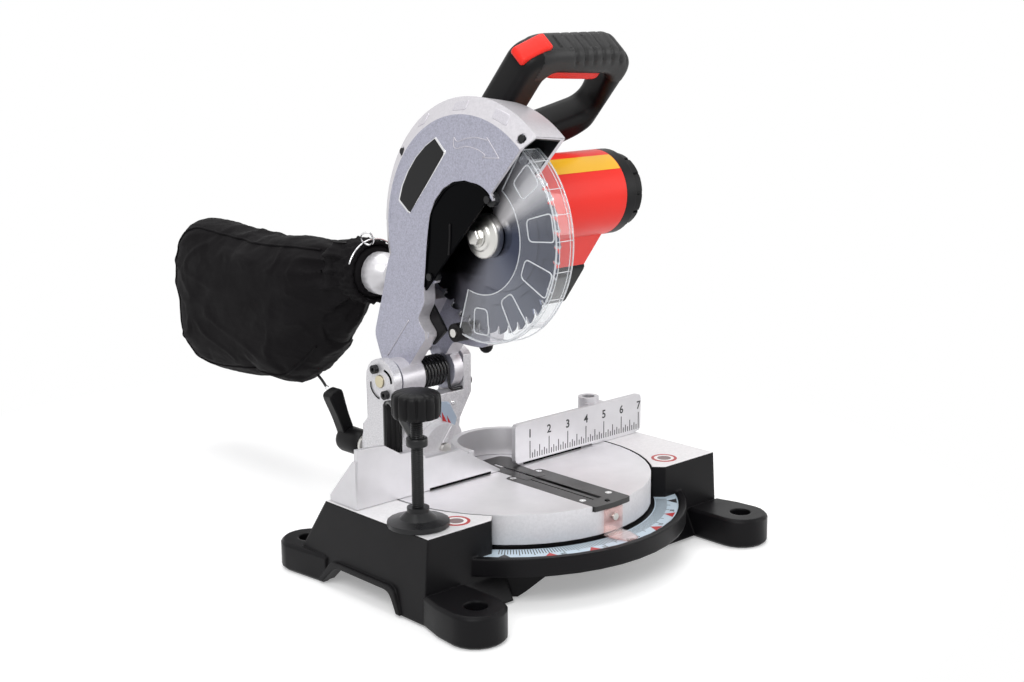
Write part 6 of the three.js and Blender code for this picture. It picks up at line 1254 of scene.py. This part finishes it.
def make_clamp():
    """The clamp's fluted knob, threaded screw, bent strip and upright."""
    def fluted(radius, w, turn):
        wave = abs(math.sin(turn * 7))
        deep = 2.1 if 2 < w < 20 else 0.9
        return radius - deep * (1 - wave) ** 2.0 if radius > 12 else radius
    profile = [(0.01, 0), (17.5, 0), (19.2, 0.6), (20.1, 2), (20.6, 5), (20.9, 12), (20.6, 18), (19.8, 20),
               (17.6, 21.4),
               (13, 22.4), (7, 23), (0.01, 23.2)]
    where = basis((SCREW_X, SCREW_Y, 170), ALONG_X, ALONG_Y)
    make_piece("clamp_knob", lathe(profile, 224, fluted), BLACK_MOULD, "clamp_screw", where, hides=["clamp_screw"])
    core = lathe([(0.01, 84), (4.0, 84), (4.6, 85), (4.6, 174), (0.01, 174)], 32)
    place = basis((SCREW_X, SCREW_Y, 0), ALONG_X, ALONG_Y)
    make_piece("clamp_rod", core, DARK_STEEL, "clamp_screw", place)
    pitch, sides = 1.75, 20
    path = []
    count = int(86 / pitch * sides)
    for i in range(count + 1):
        turn = 2 * math.pi * i / sides
        path.append((4.7 * math.cos(turn), 4.7 * math.sin(turn), 85 + pitch * i / sides))
    make_piece("clamp_thread", tube(path, 0.62, 5), DARK_STEEL, "clamp_screw", place)
    body = body_holding("clamp_arm")
    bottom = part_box("clamp_post")[0].z / MM
    arm = smooth_path([(-125, 20, 150), (-126.5, 16.5, 160.5), (-131.5, 6, 163.5), (-141, -14, 160), (-152, -38, 154),
                       (-159, -53, 151)], 8)
    wide = [12.5 - 3.0 * k / (len(arm) - 1) for k in range(len(arm))]
    strip = ribbon([at(*p) for p in arm], [w * MM for w in wide], 3.4 * MM)
    loop = []
    for k in range(40):
        turn = 2 * math.pi * k / 40
        loop.append(at(SCREW_X + 7.6 * math.cos(turn), SCREW_Y + 7.6 * math.sin(turn), 149))
    collar = ribbon(loop + [loop[0]], 3.0 * MM, 7.4 * MM)
    make_piece("clamp_strip", merged(strip, collar), DARK_STEEL, body, hides=["clamp_arm"])
    upright = ribbon([at(-125, 20, z) for z in (bottom, 60, 100, 140, 158, 161)], [14 * MM] * 5 + [11 * MM], 9 * MM,
                     (0.35, 0.94, 0))
    ribs = [ribbon([at(-125 + dx, 20 + dy, z) for z in (80, 100, 130, 157)], 1.6 * MM, 1.6 * MM, (0.35, 0.94, 0))
            for dx, dy in ((-6.6, -1.8), (-3.2, -3.8), (1.0, -5.2), (5.4, -6.4))]
    make_piece("clamp_upright", merged(upright, *ribs), BLACK_MOULD, body_holding("clamp_post"), hides=["clamp_post"])


# ---- Printed scales and labels ----

def thin_box(u0, u1, v0, v1, w0, w1):
    verts = [(u, v, w) for w in (w0, w1) for u, v in ((u0, v0), (u1, v0), (u1, v1), (u0, v1))]
    return verts, BOX_FACES


def figures(text, size, u, v, w, turn=0.0):
    """Printed figures as thin raised shapes, centred on (u, v)."""
    curve = bpy.data.curves.new("figures", "FONT")
    curve.body = text
    curve.size = size
    curve.align_x, curve.align_y = "CENTER", "CENTER"
    curve.extrude = 0.06
    curve.offset = size * 0.018
    curve.resolution_u = 3
    obj = bpy.data.objects.new("figures", curve)
    bpy.context.scene.collection.objects.link(obj)
    mesh = bpy.data.meshes.new_from_object(obj.evaluated_get(bpy.context.evaluated_depsgraph_get()))
    spin = Matrix.Translation((u, v, w)) @ Matrix.Rotation(turn, 4, "Z")
    verts = [tuple(spin @ p.co) for p in mesh.vertices]
    faces = [tuple(f.vertices) for f in mesh.polygons]
    bpy.data.objects.remove(obj)
    bpy.data.curves.remove(curve)
    bpy.data.meshes.remove(mesh)
    return verts, faces


def surface(name, start, aim):
    """The first point of a CAD piece met from a place in millimetres; y counts from the mitre axis."""
    piece = frame["nodes"][name]
    back = piece.matrix_world.inverted()
    hit, place, _, _ = piece.ray_cast(back @ at(*start), (back.to_3x3() @ Vector(aim)).normalized())
    if not hit:
        raise ValueError(f"{name} isn't met from {start}")
    place = piece.matrix_world @ place
    return Vector((place.x / MM, place.y / MM - MITRE_Y, place.z / MM))


INCH = 25.4
RULE_START = 28.63


def make_rule():
    """The inch rule on the fence's right plate."""
    face = surface("fence", (120, -60, 90), (0, 1, 0)).y
    where = basis((0, face, 0), ALONG_X, ALONG_Z)
    marks = []
    for i in range(0, 49):
        u = RULE_START + INCH * i / 8
        tall = 17.2 if i % 8 == 0 else (11.5 if i % 4 == 0 else 7.5 if i % 2 == 0 else 5.2)
        marks.append(thin_box(u - 0.48, u + 0.48, 80.3, 80.3 + tall, -0.02, 0.12))
        if i % 8 == 0:
            marks.append(figures(str(i // 8 + 1), 11.5, u, 104.5, 0.05))
    make_piece("fence_rule", merged(*marks), BLACK_PRINT, "base", where, smooth=False)


def make_mitre_scale():
    top = surface("base_casting", (0, -147, 75), (0, 0, -1)).z
    where = basis((0, 0, top), ALONG_X, ALONG_Y)
    half = 53
    steps = 72
    inner, outer = 135.5, 157.5
    verts = []
    for w in (0.02, 0.22):
        for k in range(steps + 1):
            turn = math.radians(-90 - half + 2 * half * k / steps)
            verts += [(inner * math.cos(turn), inner * math.sin(turn), w),
                      (outer * math.cos(turn), outer * math.sin(turn), w)]
    faces = []
    layer = 2 * (steps + 1)
    for k in range(steps):
        a = 2 * k
        faces.append((layer + a, layer + a + 1, layer + a + 3, layer + a + 2))
        faces.append((a + 1, layer + a + 1, layer + a, a) if k == 0 else (a, a + 2, layer + a + 2, layer + a))
        faces.append((a + 1, layer + a + 1, layer + a + 3, a + 3))
    make_piece("mitre_plate", (verts, faces), SCALE_PLATE, "base", where, smooth=False)
    marks, signs, darks = [], [], []
    for degree in range(-47, 48):
        turn = math.radians(degree - 90)
        tall = 13.5 if degree % 5 == 0 else 10.5
        spin = Matrix.Rotation(turn, 4, "Z")
        box, shapes = thin_box(inner + 1, inner + 1 + tall, -0.42, 0.42, 0.2, 0.3)
        marks.append(([spin @ Vector(p) for p in box], shapes))
    for degree in (-45, -30, -15, 0, 15, 30, 45):
        spin = Matrix.Rotation(math.radians(degree - 90), 4, "Z")
        tri = [spin @ Vector((r, t, w)) for w in (0.28, 0.38) for r, t in ((147.4, 0), (156.2, -6.4), (156.2, 6.4))]
        shapes = [(0, 2, 1), (3, 4, 5), (0, 1, 4, 3), (1, 2, 5, 4), (2, 0, 3, 5)]
        (signs if abs(degree) in (15, 30) else darks).append((tri, shapes))
        if abs(degree) < 45:
            side = Matrix.Rotation(math.radians(degree - 90 + 4.2), 4, "Z") @ Vector((152.8, 0, 0))
            marks.append(figures(str(abs(degree)), 5.4, side.x, side.y, 0.26, math.radians(degree + 4)))
    make_piece("mitre_marks", merged(*marks, *darks), BLACK_PRINT, "base", where, smooth=False)
    make_piece("mitre_signs", merged(*signs), RED_PRINT, "base", where, smooth=False)


def make_table_details():
    where = basis((0, 0, 76.05), ALONG_X, ALONG_Y)
    rear = [(-13, -36), (13, -36), (16, 8), (28, 30), (22, 40), (-9, 40), (-13, 20)]
    slot = [(-1.4, -36), (-1.4, 22), (1.4, 22), (1.4, -36)]
    outline = rounded(rear, 4)
    make_piece("insert_rear", puffed(outline[:6] + slot + outline[6:], (), 0.08, 0.12, 3), INSERT, "turntable", where)
    # A near-black patch on the kerf insert: painted shade standing for a hole.
    patch("insert_hole", [(604.2, 500.6), (605, 498.9), (608.5, 498.4), (610.6, 499.6), (609.4, 501.4), (606, 501.8)],
          ["kerf_insert"], PLATE_BLACK, "turntable", 0.15, 0.8, 0.1)
    face = surface("fence", (120, -60, 90), (0, 1, 0)).y
    foot = basis((0, face, 0), ALONG_X, ALONG_Z)
    # Thin black strips along the fence's foot: painted shade in the gap between fence and table.
    gap_shade_strips = [thin_box(-96, -22, 76.2, 78.2, -0.15, 0.18), thin_box(20, 98, 76.2, 78.0, -0.15, 0.18)]
    make_piece("fence_foot_gap", merged(*gap_shade_strips), PLATE_BLACK, "base", foot, smooth=False)


def make_bevel_label():
    on = ["tilt_bracket"]
    patch("bevel_label", [(433, 406), (440, 401.5), (449, 401.5), (457, 418), (454, 427), (447, 424), (437, 414)], on,
          BLUE_PLATE, "bracket", 0.3, 1.0, 0.2)
    for name, tri in (("one", [(441.5, 411.5), (447, 422.5), (442.3, 422)]),
                      ("two", [(446.5, 415), (451.5, 424.5), (448, 423.6)]),
                      ("three", [(437.2, 409.6), (441.2, 417.8), (438.8, 416)])):
        hits = [h for h in (seen(c, r, *on) for c, r in tri) if h]
        if len(hits) == 3:
            lift = [h[0] + h[1] * 0.45 * MM for h in hits]
            make_piece("bevel_sign_" + name, (lift, [(0, 1, 2)]), RED_PRINT, "bracket")


def make_ear_slots():
    on = ["tilt_bracket"]
    # Flat black strips on the bracket: painted shade standing for its slots.
    ridge("ear_slot_left", [(370.3, 381.5), (370.8, 387), (373, 392.5), (376.5, 397), (379.5, 399.2)], on,
          PLATE_BLACK,
          "bracket", 2.3, 0.25, lift=-0.4)
    ridge("ear_slot_right", [(384.5, 369.8), (388, 373), (391, 378), (392, 384)], on, PLATE_BLACK, "bracket", 2.0,
          0.25,
          lift=-0.4)
    patch("scale_screw", [(450.8, 400.6), (453, 399.6), (455, 401), (455, 404), (453, 405.4), (451, 404)], on, CHROME,
          "bracket", 1.4, 1.0, 0.6)


def make_lever_hub():
    low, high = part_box("bevel_bolt")
    first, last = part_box("bevel_lever")
    x, z = (low.x + high.x) / 2 / MM, (low.z + high.z) / 2 / MM
    near, far = first.y / MM - MITRE_Y, last.y / MM - MITRE_Y
    where = basis((x, 0, z), ALONG_Z, ALONG_X)
    start = near - 8
    profile = [(0.01, start), (11.0, start), (12.0, start + 0.8), (13.2, near + 2), (13.4, far - 5),
               (12.6, far - 1.6),
               (10.5, far + 0.4), (0.01, far + 0.9)]
    make_piece("lever_hub", lathe(profile, 64), BLACK_MOULD, body_holding("bevel_lever"), where)


def make_discs():
    for name, x, y in (("left", -133.4, -75.4), ("right", 131.9, -75.1)):
        top = surface("base_casting", (x, y, 100), (0, 0, -1)).z
        where = basis((x, y, top), ALONG_X, ALONG_Y)
        make_piece("disc_face_" + name, lathe([(0.01, 0.12), (9.6, 0.12), (9.6, 0.16), (0.01, 0.16)], 64), DISC_FACE,
                   "base", where, smooth=False)
        make_piece("disc_pale_" + name, lathe([(6.6, 0.1), (9.7, 0.1), (9.7, 0.2), (6.6, 0.2), (6.6, 0.1)], 64),
                   WHITE_PRINT, "base", where, smooth=False)
        make_piece("disc_ring_" + name, lathe([(9.6, 0.0), (12.3, 0.0), (12.3, 0.26), (9.6, 0.26), (9.6, 0.0)], 64),
                   RED_PRINT, "base", where, smooth=False)


def make_band():
    """The plain band round the motor's barrel."""
    verts, faces = [], []
    steps, rows = 30, 30
    for i in range(steps + 1):
        turn = math.radians(114.8 + 27.2 * i / steps)
        for k in range(rows + 1):
            x = 62 + 87 * k / rows
            y, z = 35.5 + 42.25 * math.cos(turn), 322 + 42.25 * math.sin(turn)
            verts.append(at(x, y, z))
    for i in range(steps):
        for k in range(rows):
            a = i * (rows + 1) + k
            faces.append((a, a + 1, a + rows + 2, a + rows + 1))
    make_piece("motor_band", (verts, faces), YELLOW, "head")


def make_badge():
    corners = [(436.2, 136.8), (446.6, 152), (428.5, 183), (409.6, 214.3), (398.6, 200.5), (401.8, 186), (407.8, 171),
               (416.2, 156.5), (426, 145)]
    patch("badge_rim", corners, ["head_casting"], CHROME, "head", 0.7, 1.2, 0.5)
    middle = (422, 176)
    inner = [(middle[0] + (c - middle[0]) * 0.93, middle[1] + (r - middle[1]) * 0.96) for c, r in corners]
    patch("badge_face", inner, ["head_casting"], BADGE, "head", 0.95, 1.2, 0.4)


def make_head_details():
    ridge("head_arrow", [(454.1, 137.6), (457.3, 141.6), (465.7, 138.6), (476, 137.6), (487.1, 140.2), (487.4, 138.4),
                         (498, 156.6), (497, 158.2), (482.9, 157.4), (485, 155), (476.4, 149.2), (465.7, 146.5),
                         (457, 148.4), (454, 146.6)], ["head_casting"], HEAD_PAINT, "head", 0.75, 0.7, True)
    for name, corners in (("one", [(418, 127), (424, 115.5), (430, 113), (424.5, 124)]),
                          ("two", [(452, 111), (456.5, 102), (470, 100), (465.5, 110)]),
                          ("three", [(491.5, 118), (496.5, 108), (511, 115.5), (506.5, 126.5)])):
        patch("head_pad_" + name, corners, ["head_casting"], PAD_PAINT, "head", 0.9, 2.5, 0.5)
    ridge("head_line", [(388, 355), (398, 338), (409, 320)], ["head_casting"], HEAD_PAINT, "head", 1.0, 0.6)


def make_plate_details():
    edge = [(424.6, 287), (426, 266), (427.5, 241), (430.9, 214), (437, 201.4), (446, 189), (456.8, 182.7),
            (467.5, 181.8),
            (478.2, 185.4), (487, 192.5), (494, 198.5)]
    ridge("cover_edge", edge, ["head_casting", "cover_plate"], PLATE_BLACK, "head", 1.5, 0.4)
    ridge("cover_rib", [(450, 224), (450, 238), (449, 255)], ["cover_plate"], BLACK_MOULD, "head", 1.6, 0.7)


def make_clip():
    """The wire clip that holds the bag's neck."""
    turns = []
    for i in range(33):
        turn = math.radians(50 + 110 * i / 32)
        turns.append(at(-4 + 33.4 * math.cos(turn), 195.5, 241 + 33.4 * math.sin(turn)))
    loop = [(-20, 194, 274), (-25, 188, 282), (-21, 180, 284), (-15, 182, 275), (-14, 190, 270)]
    make_piece("clip_wire", tube(turns, 1.0 * MM, 10), CHROME, "head", hides=["bag_ring"])
    make_piece("clip_loop", tube(smooth_path([at(*p) for p in loop], 6, True), 1.0 * MM, 10, True), CHROME, "head")


for make in (make_blade, make_guard_ring, make_flange, make_guard, make_spring, make_handle, make_clamp, make_rule,
             make_mitre_scale, make_discs, make_table_details, make_bevel_label, make_ear_slots, make_lever_hub,
             make_band, make_badge, make_head_details, make_plate_details, make_clip, make_cuff):
    make()
make_bag_trim(make_bag())
